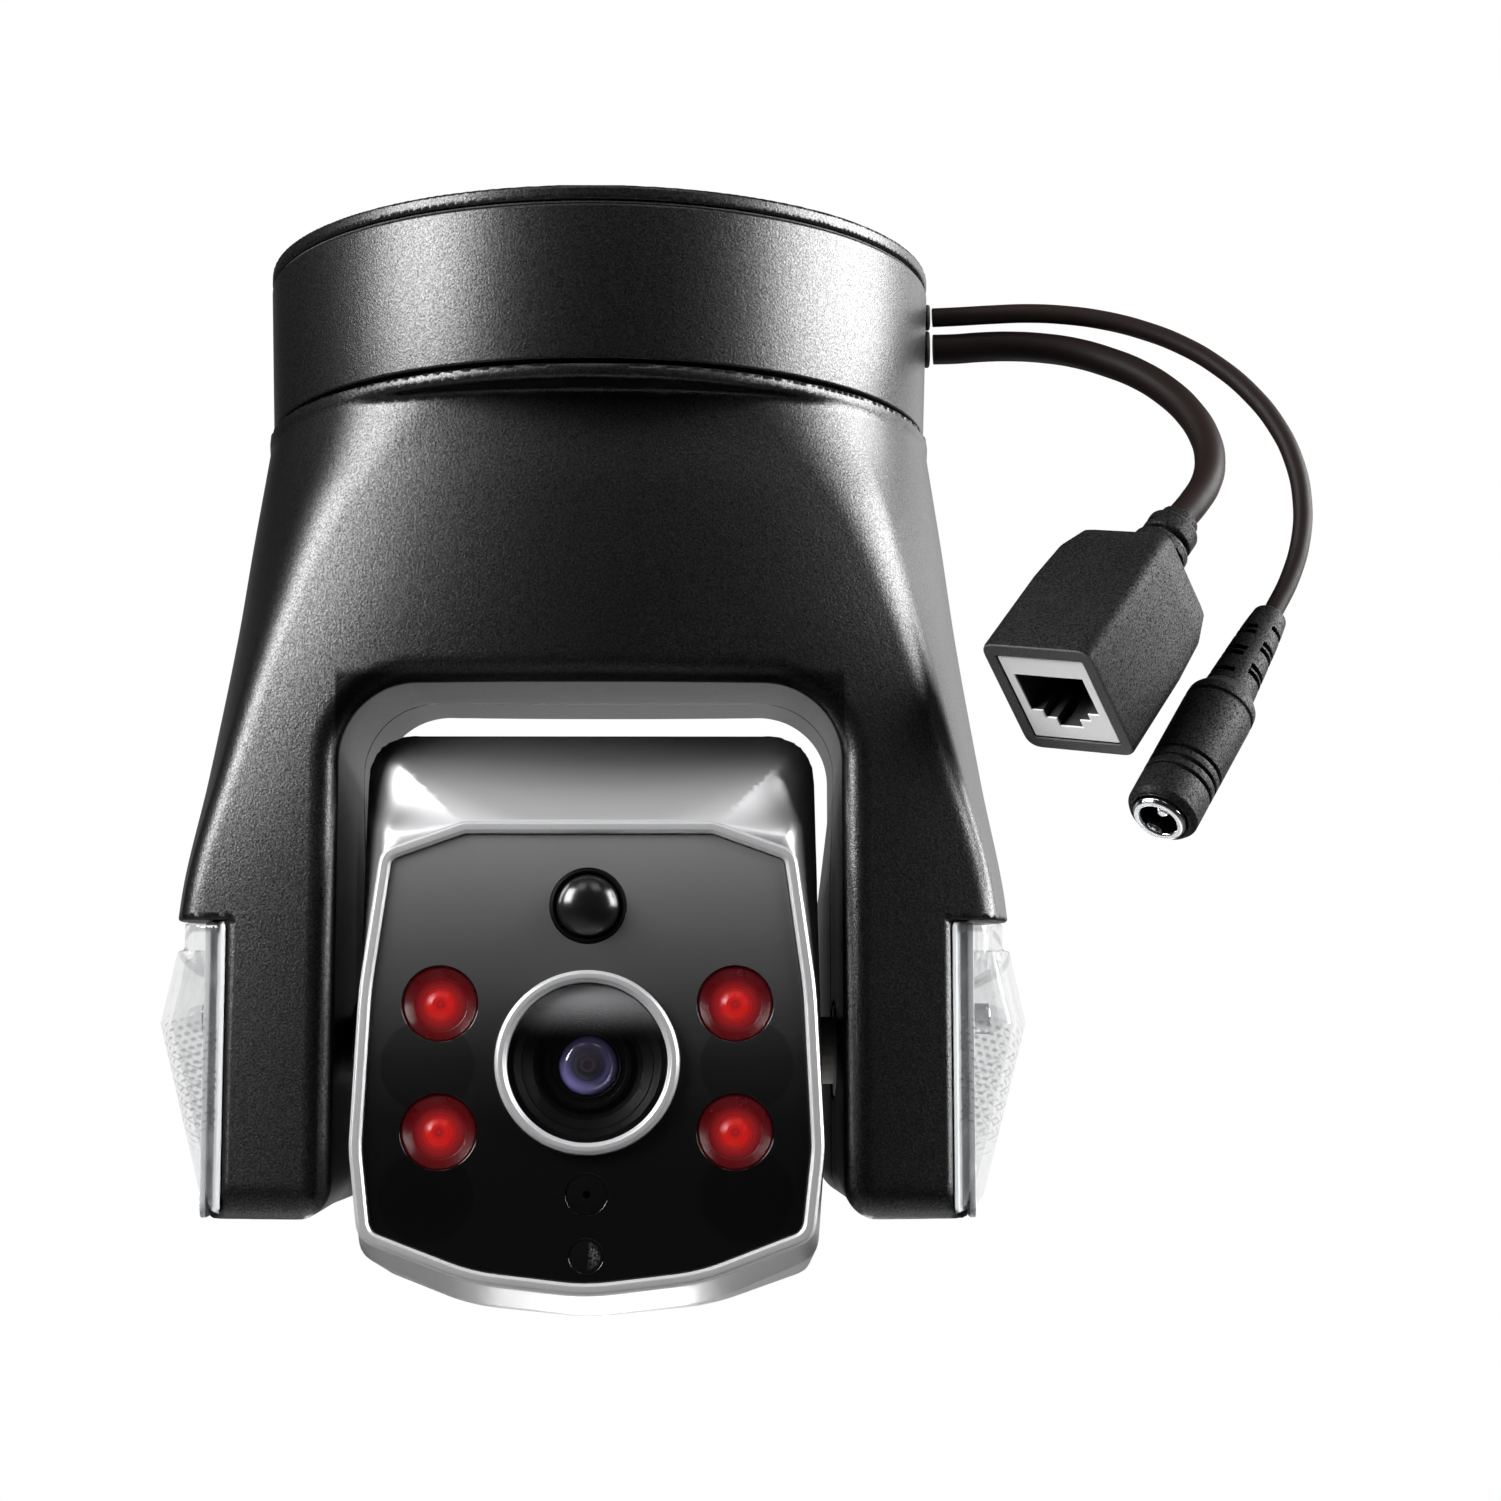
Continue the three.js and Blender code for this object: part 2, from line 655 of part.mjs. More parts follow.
const tiltPinion = join(
  prismX(pinionShape(TILT_PINION_TEETH, TILT_MODULE), TILT_GEAR_X, 1),
  rodX(SHAFT_R, [TILT_MOTOR_X[0] + 1.2, TILT_GEAR_X[1] + 0.2], [0, 0], 16),
);
const tiltPinionMesh = add(camera, 'tilt_pinion', tiltPinion, 'brass');
tiltPinionMesh.position.z = TILT_Z + TILT_MODULE * (TILT_GEAR_TEETH + TILT_PINION_TEETH) / 2;

// ---------------------------------------------------------------- head

const head = new THREE.Group();
head.position.z = TILT_Z;
camera.add(head);

const mirrored = (half) => [
  ...half,
  ...half.filter(([x]) => x > 0).reverse().map(([x, z, radius]) => [-x, z, radius]),
];

// Front outlines run anticlockwise from the middle of the bottom edge.
const BEZEL_FRONT = mirrored([
  [0, -38.4, 30],
  [16, -36.5, 30],
  [31.3, -30.6, 4],
  [32.7, -18, 20],
  [31.6, 4, 60],
  [28.9, 23.4, 3],
  [17.5, 27.5, 4],
]);
const SHELL_FRONT = mirrored([
  [0, -40.4, 30],
  [17, -38.4, 30],
  [32, -32, 4],
  [33, -18, 20],
  [31.6, 43.2, 7],
]);
const SHELL_SIDE = [
  [HEAD_FRONT_Y, -40.4],
  [-28, -40.4, 20],
  [-5, -37.5, 20],
  [16, -33, 12],
  [32, -24, 12],
  [40, -10, 12],
  [42, 6, 12],
  [38, 24, 12],
  [26, 36.5, 12],
  [8, 42.8, 12],
  [-22, 43.2, 8],
  [-31, 40.5, 4],
  [HEAD_FRONT_Y, 27.2],
];

function headShell() {
  const shape = (inward) => common(
    prismY(outline(inset(SHELL_FRONT, inward)), [HEAD_FRONT_Y - inward, 44], 3),
    prismX(outline(inset(SHELL_SIDE, inward)), [-40, 40], 2),
  );
  const outside = shape(0);
  const hollow = shape(2.2);
  const mouth = prismY(outline(inset(BEZEL_FRONT, 2.6)), [HEAD_FRONT_Y - 1, -36], 3);
  const axleHoles = rodX(AXLE_R + 0.2, [-40, 40], [0, 0], 24);
  return cut(outside, hollow, mouth, axleHoles);
}

const bezel = () => cut(
  prismY(outline(BEZEL_FRONT), BEZEL_Y, 3),
  prismY(outline(inset(BEZEL_FRONT, BEZEL_WIDTH)), [-50, -40], 3),
);

const IR_PLACES = IR_ROWS_Z.flatMap((z) => [[-IR_X, z], [IR_X, z]]);

function frontPanel() {
  const sheet = prismY(outline(inset(BEZEL_FRONT, BEZEL_WIDTH + 0.15)), PANEL_Y, 3);
  const through = [-50, -40];
  return cut(
    sheet,
    rodY(12.9, through, [0, LENS_Z], 32),
    rodY(5.4, through, [0, MOTION_Z], 16),
    rodY(2.95, through, [0, MICROPHONE_Z], 12),
    rodY(2.45, through, [0, LIGHT_SENSOR_Z], 12),
    ...IR_PLACES.map((place) => rodY(5.3, through, place, 16)),
  );
}

const ledBoard = () => cut(
  prismY(outline(inset(BEZEL_FRONT, 4.5)), LED_BOARD_Y, 3),
  rodY(11.8, [-50, -30], [0, LENS_Z], 24),
);

// Turned pieces that face the front give their heights as distances in front of the tilt axis.
const lensBaffle = () => turnedFront(
  [[10.6, 43.1], [9.8, 43.1], [6.75, 39.4], [6.75, 38.4], [7.6, 38.4], [10.6, 42.2]],
  [0, LENS_Z],
  24,
);
const lensBarrel = () => turnedFront(
  [[0, 24.2], [6.5, 24.2], [6.5, 40.4], [6, 40.9], [4.4, 40.9], [4.4, 39.2], [0, 39.2]],
  [0, LENS_Z],
  24,
);
const lensGlass = () => turnedFront(
  [[0, 39.4], [4.2, 39.4], [4.1, 40.1], [3, 40.9], [1.5, 41.35], [0, 41.5]],
  [0, LENS_Z],
  24,
);
const motionDome = () => turnedFront(
  [[0, 42.9], [4.2, 42.9], [4.2, 44.4], [3.6, 45.6], [2.2, 46.4], [0, 46.8]],
  [0, MOTION_Z],
  16,
);
const irLed = () => turnedFront(
  [[0, 40.7], [2.4, 40.7], [2.4, 41.6], [1.7, 42.3], [0, 42.6]],
  [0, 0],
  12,
);

function leftAxle() {
  return turnedX([
    [AXLE_BORE_R, -41.6],
    [6.6, -41.6],
    [6.6, -39.5],
    [AXLE_R, -39.5],
    [AXLE_R, -30.2],
    [8, -30.2],
    [8, -29],
    [AXLE_BORE_R, -29],
  ], [0, 0], 24);
}

function tiltGear() {
  const wheel = prismX(wheelShape(TILT_GEAR_TEETH, TILT_MODULE), TILT_GEAR_X, 1);
  const axle = turnedX([
    [0, 29],
    [8, 29],
    [8, 30.2],
    [AXLE_R, 30.2],
    [AXLE_R, 47.5],
    [0, 47.5],
  ], [0, 0], 24);
  return cut(join(wheel, axle), rodX(AXLE_BORE_R, [20, 60], [0, 0], 16));
}

add(head, 'head_shell', headShell(), 'headShell');
add(head, 'head_bezel', bezel(), 'satinSilver');
add(head, 'front_panel', frontPanel(), 'panel');
add(head, 'lens_ring', turnedFront(
  [[10.8, 42.9], [12.7, 42.9], [12.7, 45.2], [12.2, 45.7], [11.2, 45.7], [10.8, 45.2]],
  [0, LENS_Z],
  32,
), 'satinSilver');
add(head, 'lens_window', rodY(10.5, LENS_WINDOW_Y, [0, LENS_Z], 32), 'clear');
add(head, 'lens_baffle', lensBaffle(), 'panel');
add(head, 'lens_barrel', lensBarrel(), 'connector');
add(head, 'lens_glass', lensGlass(), 'lensGlass');
add(head, 'camera_board', box([-15, 15], [-24, -22.4], [LENS_Z - 15, LENS_Z + 15]), 'board');
add(head, 'led_board', ledBoard(), 'board');
add(head, 'motion_sensor_collar', turnedFront(
  [[4.35, 42.9], [5.25, 42.9], [5.25, 44.9], [4.35, 44.9]],
  [0, MOTION_Z],
  16,
), 'blackRubber');
add(head, 'motion_sensor_dome', motionDome(), 'smokedDome');
IR_PLACES.forEach(([x, z], i) => {
  const window = add(head, `ir_window_${i + 1}`, rodY(5.1, [-44.4, -42.9], [0, 0], 16), 'redWindow');
  window.position.set(x, 0, z);
  const led = add(head, `ir_led_${i + 1}`, irLed(), 'ledBody');
  led.position.set(x, 0, z);
});
add(head, 'microphone_port', rodY(2.8, PANEL_Y, [0, MICROPHONE_Z], 16), 'smokedDome');
add(head, 'light_sensor_window', rodY(2.3, PANEL_Y, [0, LIGHT_SENSOR_Z], 16), 'smokedDome');
add(head, 'tilt_axle_left', leftAxle(), 'steel');
add(head, 'tilt_gear', tiltGear(), 'acetal');

// ---------------------------------------------------------------- leads

// Lead of round section along a smooth curve through its route, in steps of 2.5 diameters.
function lead(route, radius) {
  const curve = new THREE.CatmullRomCurve3(route.map((p) => new THREE.Vector3(...p)));
  const section = new THREE.Shape();
  for (let side = 0; side < 8; side += 1) {
    const angle = 2 * Math.PI * side / 8;
    const method = side === 0 ? 'moveTo' : 'lineTo';
    section[method](radius * Math.cos(angle), radius * Math.sin(angle));
  }
  const steps = Math.ceil(curve.getLength() / (5 * radius));
  return new THREE.ExtrudeGeometry(section, { steps, extrudePath: curve, bevelEnabled: false });
}

// Group whose +Z looks out of a connector's mouth, with its origin on the mouth.
function connectorGroup(mouth, across, up) {
  const x = new THREE.Vector3(...across).normalize();
  const y = new THREE.Vector3(...up);
  y.addScaledVector(x, -y.dot(x)).normalize();
  const z = new THREE.Vector3().crossVectors(x, y);
  const group = new THREE.Group();
  group.quaternion.setFromRotationMatrix(new THREE.Matrix4().makeBasis(x, y, z));
  group.position.set(...mouth);
  camera.add(group);
  return group;
}

const SOCKET_MOUTH = [66, -39.7, -72.5];
const SOCKET_ACROSS = [0.765, -0.616, -0.187];
const SOCKET_UP = [-0.399, -0.682, 0.613];
const SOCKET_W = 18.9;
const SOCKET_H = 20.3;
const SOCKET_L = 27.2;
const SOCKET_RELIEF_L = 11.5;
const INSERT_W = 14.6;
const INSERT_H = 15.6;
const INSERT_DEPTH = 13;

const JACK_MOUTH = [79.8, -40, -89.8];
const JACK_AXIS = [0.451, 0.423, 0.786]; // from the mouth to the lead
const JACK_R = 5.3;
const JACK_L = 42.3;

// Housing tapered to the rear, with a pocket for the insert and a ribbed strain relief.
function socketHousing() {
  const taper = 0.83;
  const slices = [[0, 1], [-15, 0.985], [-SOCKET_L, taper]];
  const ringAt = (z, scale) => {
    const shape = rectangle([-SOCKET_W / 2, SOCKET_W / 2], [-SOCKET_H / 2, SOCKET_H / 2], 2.5);
    const points = shape.extractPoints(3).shape;
    return points.map((p) => new THREE.Vector3(p.x * scale, p.y * scale, z));
  };
  const block = loft(slices.map(([z, scale]) => ringAt(z, scale)).reverse());
  const pocket = prismZ(
    rectangle([-INSERT_W / 2 - 0.15, INSERT_W / 2 + 0.15], [-INSERT_H / 2 - 0.15, INSERT_H / 2 + 0.15]),
    [-INSERT_DEPTH - 0.3, 1],
  );
  const ribs = [0.9, 5.6].flatMap((rise, i) => [
    [4.4 - 0.5 * i, -SOCKET_L - rise],
    [3.2 - 0.3 * i, -SOCKET_L - rise],
    [3.2 - 0.3 * i, -SOCKET_L - rise - 1.1],
    [4.3 - 0.5 * i, -SOCKET_L - rise - 1.1],
  ]);
  const relief = turned([
    [0, -SOCKET_L + 2],
    [4.4, -SOCKET_L + 2],
    ...ribs,
    [3.4, -SOCKET_L - SOCKET_RELIEF_L],
    [0, -SOCKET_L - SOCKET_RELIEF_L],
  ], 16);
  return join(cut(block, pocket), relief);
}

// Stepped opening: plug body, keyway and latch slot, one below the other.
function socketInsert() {
  const block = box([-INSERT_W / 2, INSERT_W / 2], [-INSERT_H / 2, INSERT_H / 2], [-INSERT_DEPTH, 0]);
  const steps = [[5.85, -2.6, 4.3], [3.9, -3.9, 0], [2, -5.4, 0]];
  const opening = steps.map(([half, low, high]) => box([-half, half], [low, high], [-11, 1]));
  return cut(block, ...opening);
}

const socket = connectorGroup(SOCKET_MOUTH, SOCKET_ACROSS, SOCKET_UP);
add(socket, 'network_socket_housing', socketHousing(), 'connector');
add(socket, 'network_socket_insert', socketInsert(), 'socketPlate').position.z = -0.25;

// The jack's body has three ring grooves and a ribbed strain relief; +Z looks out of its mouth.
function jackHousing() {
  const groove = (z) => [[JACK_R, z], [JACK_R - 0.5, z], [JACK_R - 0.5, z - 0.7], [JACK_R, z - 0.7]];
  const rib = (z, radius) => [
    [radius, z],
    [radius - 0.15, z - 2.4],
    [radius - 0.9, z - 2.4],
    [radius - 0.9, z - 3.2],
  ];
  return turned([
    [4.15, -1],
    [JACK_R - 0.6, -1],
    [JACK_R, -1.7],
    ...[-6.2, -8, -9.8].flatMap(groove),
    [JACK_R, -23],
    [JACK_R - 0.7, -25.5],
    ...rib(-27, 3.7),
    ...rib(-31, 3.4),
    ...rib(-35, 3.1),
    [2.6, -39],
    [2.4, -JACK_L],
    [0, -JACK_L],
    [0, -16],
    [4.15, -16],
  ], 14);
}

const jackAxis = new THREE.Vector3(...JACK_AXIS).normalize();
const jackSide = new THREE.Vector3(0, 1, 0).cross(jackAxis);
const jackUp = new THREE.Vector3().crossVectors(jackSide, jackAxis);
const jack = connectorGroup(JACK_MOUTH, jackSide.toArray(), jackUp.toArray());
add(jack, 'power_jack_housing', jackHousing(), 'connector');
add(jack, 'power_jack_sleeve', turned(
  [[2.8, -11], [2.8, 0], [3.6, 0], [4, -0.4], [4, -15.8], [1.6, -15.8], [1.6, -11]],
  24,
), 'chrome');
add(jack, 'power_jack_pin', turned(
  [[0, -15.5], [1.05, -15.5], [1.05, -2], [0.6, -1.4], [0, -1.4]],
  12,
), 'chrome');

const NETWORK_ROUTE = [
  [51.2, 3, -9.5],
  [54.5, 3, -9.4],
  [58.5, 3, -9.1],
  [63, 2.9, -9],
  [68, 2.4, -9.4],
  [73, 1.2, -10.5],
  [77.8, -0.8, -12.5],
  [82.2, -3.6, -15.2],
  [85.9, -6.9, -18.7],
  [88.8, -10.6, -22.9],
  [90.6, -14.2, -27.5],
  [91, -17.5, -32.1],
  [89.9, -20.5, -36.4],
  [87.9, -22.7, -39.7],
  [85.7, -24.3, -42.5],
];
const POWER_ROUTE = [
  [51, 1, -5],
  [55, 1, -4.8],
  [60, 1, -4.5],
  [65.5, 0.6, -4.4],
  [71, 0, -4.8],
  [77, -1, -5.9],
  [83, -2.5, -7.9],
  [88.8, -4.6, -10.9],
  [94, -7.2, -15],
  [98.4, -10, -20],
  [101.7, -12.8, -25.6],
  [103.8, -15.2, -31.6],
  [104.6, -17.1, -38],
  [104, -18.7, -44.4],
  [102.1, -20.1, -50.4],
  [99.1, -22, -56.2],
];
add(camera, 'network_cable', lead(NETWORK_ROUTE, NETWORK_CABLE_R), 'cable');
add(camera, 'power_cable', lead(POWER_ROUTE, POWER_CABLE_R), 'cable');

export default camera;
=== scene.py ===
import math

import bpy
import numpy as np
from mathutils import Matrix, Vector


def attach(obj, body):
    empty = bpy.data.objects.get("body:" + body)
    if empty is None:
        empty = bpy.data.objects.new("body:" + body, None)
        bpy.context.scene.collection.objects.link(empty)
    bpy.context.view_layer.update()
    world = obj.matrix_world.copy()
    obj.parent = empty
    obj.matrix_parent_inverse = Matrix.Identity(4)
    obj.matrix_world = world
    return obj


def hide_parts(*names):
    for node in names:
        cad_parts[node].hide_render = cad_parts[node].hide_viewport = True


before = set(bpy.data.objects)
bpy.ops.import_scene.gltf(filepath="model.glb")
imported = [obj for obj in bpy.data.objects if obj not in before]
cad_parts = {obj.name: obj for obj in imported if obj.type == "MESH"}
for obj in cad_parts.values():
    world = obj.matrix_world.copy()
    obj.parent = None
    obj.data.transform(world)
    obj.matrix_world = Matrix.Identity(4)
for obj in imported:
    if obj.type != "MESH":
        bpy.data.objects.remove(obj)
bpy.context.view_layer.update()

MM = 0.001

# ---------------------------------------------------------------- sizes, in millimetres, as in the CAD

BASE_R = 50
BASE_FOOT_R = 49.3
PLATE_T = 2.2
DRUM_TOP_Z = -2.7
DRUM_FLOOR_Z = -25.3
LOCK_SCREW_Z = -6
YOKE_TOP_Z = -25.9
RIM_R = 49.5
RIM_FOOT_Z = -28.1
ARM_FOOT_Z = -140.9
ARM_OUTER_X = 53
LAMP_TOP_Z = -99
RISE = 0.12  # the arch, the ledges and the feet rise towards the rear, per millimetre
YOKE_WALL = 2.4
ARCH_HALF_W = 35.5
ARCH_TOP_Z = -65.3
ARCH_R = 11
YOKE_SECTIONS = np.array([  # height, half width, half width of the faces, distance of their edges, bulge
    (-148, 62.1, 59.2, 37, 7.5),
    (-99, 60.8, 56.6, 37, 8),
    (-80, 57.5, 51.5, 37, 8.5),
    (-58, 53.9, 45, 37, 9),
    (-43, 51.9, 39.5, 37.4, 7.8),
    (-34, 50.6, 34.5, 37.8, 6.3),
    (-28, 49.7, 31.5, 38, 5.5),
])
YOKE_SCREWS = [(-34, -48), (34, -48), (-42.4, -129.5), (42.4, -129.5)]
SPLIT_Y = 5
TILT_Z = -118
LED_Z = -113.3
LENS_Z = TILT_Z - 6.2
MOTION_Z = TILT_Z + 15.6
IR_PLACES = [(-20.4, TILT_Z + 2), (20.4, TILT_Z + 2), (-20.4, TILT_Z - 15.7), (20.4, TILT_Z - 15.7)]
IR_WINDOW_R = 5.2
MICROPHONE_Z = TILT_Z - 24.3
MICROPHONE_R = 2.86
LIGHT_SENSOR_Z = TILT_Z - 32.7
LIGHT_SENSOR_R = 2.36
LENS_WINDOW_R = 10.95
LENS_RING_R = 12.75
MOTION_COLLAR_R = 5.25
MOTION_DOME_R = 4.5
NETWORK_CABLE_R = 2.3
POWER_CABLE_R = 1.45
NETWORK_EXIT = (3, -9.5)
POWER_EXIT = (1, -5)


# ---------------------------------------------------------------- camera

def aim_camera():
    distance, azimuth, elevation, roll = 0.620, math.radians(-0.54), math.radians(-9.94), math.radians(-0.06)
    target = Vector((0.02297, 0, -0.07274))
    back = Vector((
        math.sin(azimuth) * math.cos(elevation),
        -math.cos(azimuth) * math.cos(elevation),
        math.sin(elevation),
    ))
    right = (-back).cross(Vector((0, 0, 1))).normalized()
    up = right.cross(-back)
    right, up = (
        right * math.cos(roll) + up * math.sin(roll),
        up * math.cos(roll) - right * math.sin(roll),
    )
    data = bpy.data.cameras.new("camera")
    data.lens = 98.72
    data.sensor_width = 36
    data.clip_start = 0.05
    data.clip_end = 50
    camera = bpy.data.objects.new("camera", data)
    bpy.context.scene.collection.objects.link(camera)
    turn = Matrix((right, up, back)).transposed().to_4x4()
    camera.matrix_world = Matrix.Translation(target + back * distance) @ turn
    bpy.context.scene.camera = camera


aim_camera()

# ---------------------------------------------------------------- materials

BLACK = (0.0, 0.0, 0.0)


class Finish:
    """A procedural material under construction. Values that don't vary go straight on the shader."""

    def __init__(self, name, **values):
        self.material = bpy.data.materials.new(name)
        self.material.use_nodes = True
        self.tree = self.material.node_tree
        self.shader = self.tree.nodes["Principled BSDF"]
        for socket, value in values.items():
            self.shader.inputs[socket.replace("_", " ")].default_value = value
        self.place = self.node("ShaderNodeTexCoord").outputs["Object"]

    def node(self, kind, **settings):
        node = self.tree.nodes.new(kind)
        for key, value in settings.items():
            setattr(node, key, value)
        return node

    def link(self, source, target):
        self.tree.links.new(source, target)
        return source

    def noise(self, scale, detail=2.0, roughness=0.5):
        node = self.node("ShaderNodeTexNoise")
        node.inputs["Scale"].default_value = scale
        node.inputs["Detail"].default_value = detail
        node.inputs["Roughness"].default_value = roughness
        self.link(self.place, node.inputs["Vector"])
        return node.outputs["Fac"]

    def cells(self, scale):
        node = self.node("ShaderNodeTexVoronoi")
        node.inputs["Scale"].default_value = scale
        self.link(self.place, node.inputs["Vector"])
        return node.outputs["Distance"]

    def ramp(self, source, *stops):
        node = self.node("ShaderNodeValToRGB")
        band = node.color_ramp
        while len(band.elements) < len(stops):
            band.elements.new(1.0)
        for element, (position, colour) in zip(band.elements, stops):
            element.position = position
            element.color = (*colour, 1) if hasattr(colour, "__len__") else (colour,) * 3 + (1,)
        self.link(source, node.inputs["Fac"])
        return node.outputs["Color"]

    def math(self, operation, *sources):
        node = self.node("ShaderNodeMath", operation=operation)
        for socket, source in zip(node.inputs, sources):
            if isinstance(source, (int, float)):
                socket.default_value = source
            else:
                self.link(source, socket)
        return node.outputs[0]

    def times(self, *sources):
        return self.math("MULTIPLY", *sources)

    def most(self, *sources):
        return self.math("MAXIMUM", *sources)

    def sum_of(self, first, first_share, second, second_share):
        return self.math("ADD", self.times(first, first_share), self.times(second, second_share))

    def coordinates(self):
        """The three coordinates in metres."""
        node = self.node("ShaderNodeSeparateXYZ")
        self.link(self.place, node.inputs[0])
        return node.outputs

    def mix(self, factor, first, second):
        node = self.node("ShaderNodeMix", data_type="RGBA")
        for socket, source in zip((node.inputs[0], node.inputs[6], node.inputs[7]), (factor, first, second)):
            if isinstance(source, (int, float)):
                socket.default_value = source
            elif isinstance(source, tuple):
                socket.default_value = (*source, 1)
            else:
                self.link(source, socket)
        return node.outputs[2]

    def radius(self, centre, flatten):
        """Distance in metres from a line through centre, in millimetres, along the flattened axis."""
        offset = self.node("ShaderNodeVectorMath", operation="SUBTRACT")
        self.link(self.place, offset.inputs[0])
        offset.inputs[1].default_value = [MM * c for c in centre]
        scaled = self.node("ShaderNodeVectorMath", operation="MULTIPLY")
        self.link(offset.outputs[0], scaled.inputs[0])
        scaled.inputs[1].default_value = [0 if axis == flatten else 1 for axis in "xyz"]
        length = self.node("ShaderNodeVectorMath", operation="LENGTH")
        self.link(scaled.outputs[0], length.inputs[0])
        return length.outputs["Value"]

    def band(self, source, low, high):
        node = self.node("ShaderNodeMapRange", interpolation_type="SMOOTHSTEP")
        node.inputs["From Min"].default_value = low
        node.inputs["From Max"].default_value = high
        self.link(source, node.inputs["Value"])
        return node.outputs["Result"]

    def colour(self, source):
        self.link(source, self.shader.inputs["Base Color"])

    def rough(self, source, low, high):
        node = self.node("ShaderNodeMapRange")
        node.inputs["To Min"].default_value = low
        node.inputs["To Max"].default_value = high
        self.link(source, node.inputs["Value"])
        self.link(node.outputs["Result"], self.shader.inputs["Roughness"])

    def bump(self, *layers):
        """Bump layers of (height, strength, depth in millimetres)."""
        normal = None
        for height, strength, depth in layers:
            node = self.node("ShaderNodeBump")
            node.inputs["Strength"].default_value = strength
            node.inputs["Distance"].default_value = depth * MM
            self.link(height, node.inputs["Height"])
            if normal:
                self.link(normal, node.inputs["Normal"])
            normal = node.outputs["Normal"]
        self.link(normal, self.shader.inputs["Normal"])


def grained_plastic(name, dark, light, rough, grain, depth, glints=(0.22, 0.7), painted_arch_shade=False, **values):
    """Spark-eroded moulded plastic: a fine sharp grain that glints, over a faint orange peel.

    A casing for the yoke has the gloss taken off the arms' inner walls and the front of the arch's underside:
    painted shade where the arch is in shade.
    """
    f = Finish(name, **values)
    fine = f.noise(1000 / grain, 2.5, 0.6)
    peel = f.noise(330 / grain, 1.5)
    broad = f.noise(28, 2.0)
    glint = f.node("ShaderNodeMapRange")
    glint.inputs["From Min"].default_value = 0.35
    glint.inputs["From Max"].default_value = 0.68
    glint.inputs["To Min"].default_value, glint.inputs["To Max"].default_value = glints
    f.link(f.noise(1250 / grain, 2.0, 0.6), glint.inputs["Value"])
    sheen = glint.outputs["Result"]
    if painted_arch_shade:
        # Painted shade: the arms' inner walls and the front of the arch's underside lose their gloss, so they
        # stay dark as if in shade.
        x, y, z = f.coordinates()
        inner = f.band(f.math("ABSOLUTE", x), 0.0362, 0.0356)
        low = f.times(f.band(z, -0.074, -0.08), 0.92)
        level = f.math("MULTIPLY_ADD", y, -RISE, z)
        near = f.times(f.band(level, -0.0628, -0.0645), f.band(y, 0.035, -0.045))
        # matt is the painted shade mask: where it is 1 the gloss is removed.
        matt = f.times(inner, f.most(low, f.times(near, 0.85)))
        sheen = f.times(sheen, f.math("SUBTRACT", 1.0, matt))
    f.link(sheen, f.shader.inputs["Specular IOR Level"])
    mixed = f.mix(f.band(fine, 0.38, 0.66), dark, light)
    f.colour(f.mix(f.band(broad, 0.3, 0.75), mixed, tuple(0.8 * c for c in dark)))
    f.rough(f.sum_of(fine, 0.7, broad, 0.3), *rough)
    f.bump((peel, 0.08, depth * 1.6), (fine, 0.5, depth))
    return f.material


def brushed_metal(name, dark, light, rough, metallic=1.0, grain=0.5, depth=0.02):
    """Fine satin metal or metallic paint with a slight cloudiness."""
    f = Finish(name, Metallic=metallic)
    fine = f.noise(1000 / grain, 3.0, 0.65)
    cloud = f.noise(60, 3.0)
    f.colour(f.mix(f.sum_of(fine, 0.6, cloud, 0.4), dark, light))
    f.rough(fine, *rough)
    f.bump((fine, 0.3, depth))
    return f.material


def black_gloss(name, colour, rough, **values):
    """Polished black plastic with faint handling marks in the gloss."""
    f = Finish(name, **values)
    haze = f.noise(90, 4.0, 0.6)
    dust = f.cells(420)
    f.colour(f.mix(f.band(haze, 0.3, 0.8), colour, tuple(1.5 * c for c in colour)))
    f.rough(f.sum_of(haze, 0.8, f.band(dust, 0.08, 0.0), 0.4), *rough)
    f.bump((f.noise(160, 1.0), 0.05, 0.02))
    return f.material


def clear_cover():
    """Clear moulding: faint edges and steps, and rows of small prism dashes below the lamp."""
    f = Finish("clear_cover", Specular_IOR_Level=0.7)
    height = f.coordinates()["Z"]
    across = f.math("ABSOLUTE", f.coordinates()["X"])

    def wave(source, pitch, shift=0.0):
        return f.math("SINE", f.math("MULTIPLY_ADD", source, 2 * math.pi / pitch, shift))

    columns = wave(f.math("MULTIPLY_ADD", height, 0.22, across), 0.00115)
    rows = wave(height, 0.0011, f.times(across, 1400))
    dashes = f.times(f.band(columns, -0.5, 0.1), f.band(rows, 0.2, 0.8))
    zone = f.times(f.band(height, -0.1345, -0.1315), f.band(height, -0.1155, -0.1185))
    steps = f.times(f.band(height, -0.1052, -0.1047), f.band(height, -0.1036, -0.1041))
    ribs = f.times(f.band(wave(across, 0.0007), 0.1, 0.7), f.band(height, -0.1030, -0.1025))
    cloud = f.noise(260, 3.0, 0.6)
    detail = f.most(f.times(dashes, zone), f.most(steps, f.times(ribs, 0.5)))
    f.colour(f.mix(detail, f.mix(cloud, (0.3, 0.306, 0.312), (0.42, 0.425, 0.43)), (0.14, 0.143, 0.147)))
    clear = f.math("MULTIPLY_ADD", f.band(cloud, 0.4, 0.75), 0.12, 0.16)
    f.link(f.math("MULTIPLY_ADD", detail, 0.34, clear), f.shader.inputs["Alpha"])
    f.rough(cloud, 0.05, 0.16)
    f.bump((f.noise(230, 1.5), 0.1, 0.05))
    return f.material


def red_window():
    """Thin clear red pane, seen mostly by what glows behind it."""
    f = Finish("red_window", Specular_IOR_Level=0.08)
    haze = f.noise(300, 2.0)
    f.colour(f.mix(haze, (0.03, 0.001, 0.002), (0.045, 0.002, 0.003)))
    f.link(f.math("MULTIPLY_ADD", haze, 0.06, 0.16), f.shader.inputs["Alpha"])
    f.rough(haze, 0.12, 0.2)
    return f.material


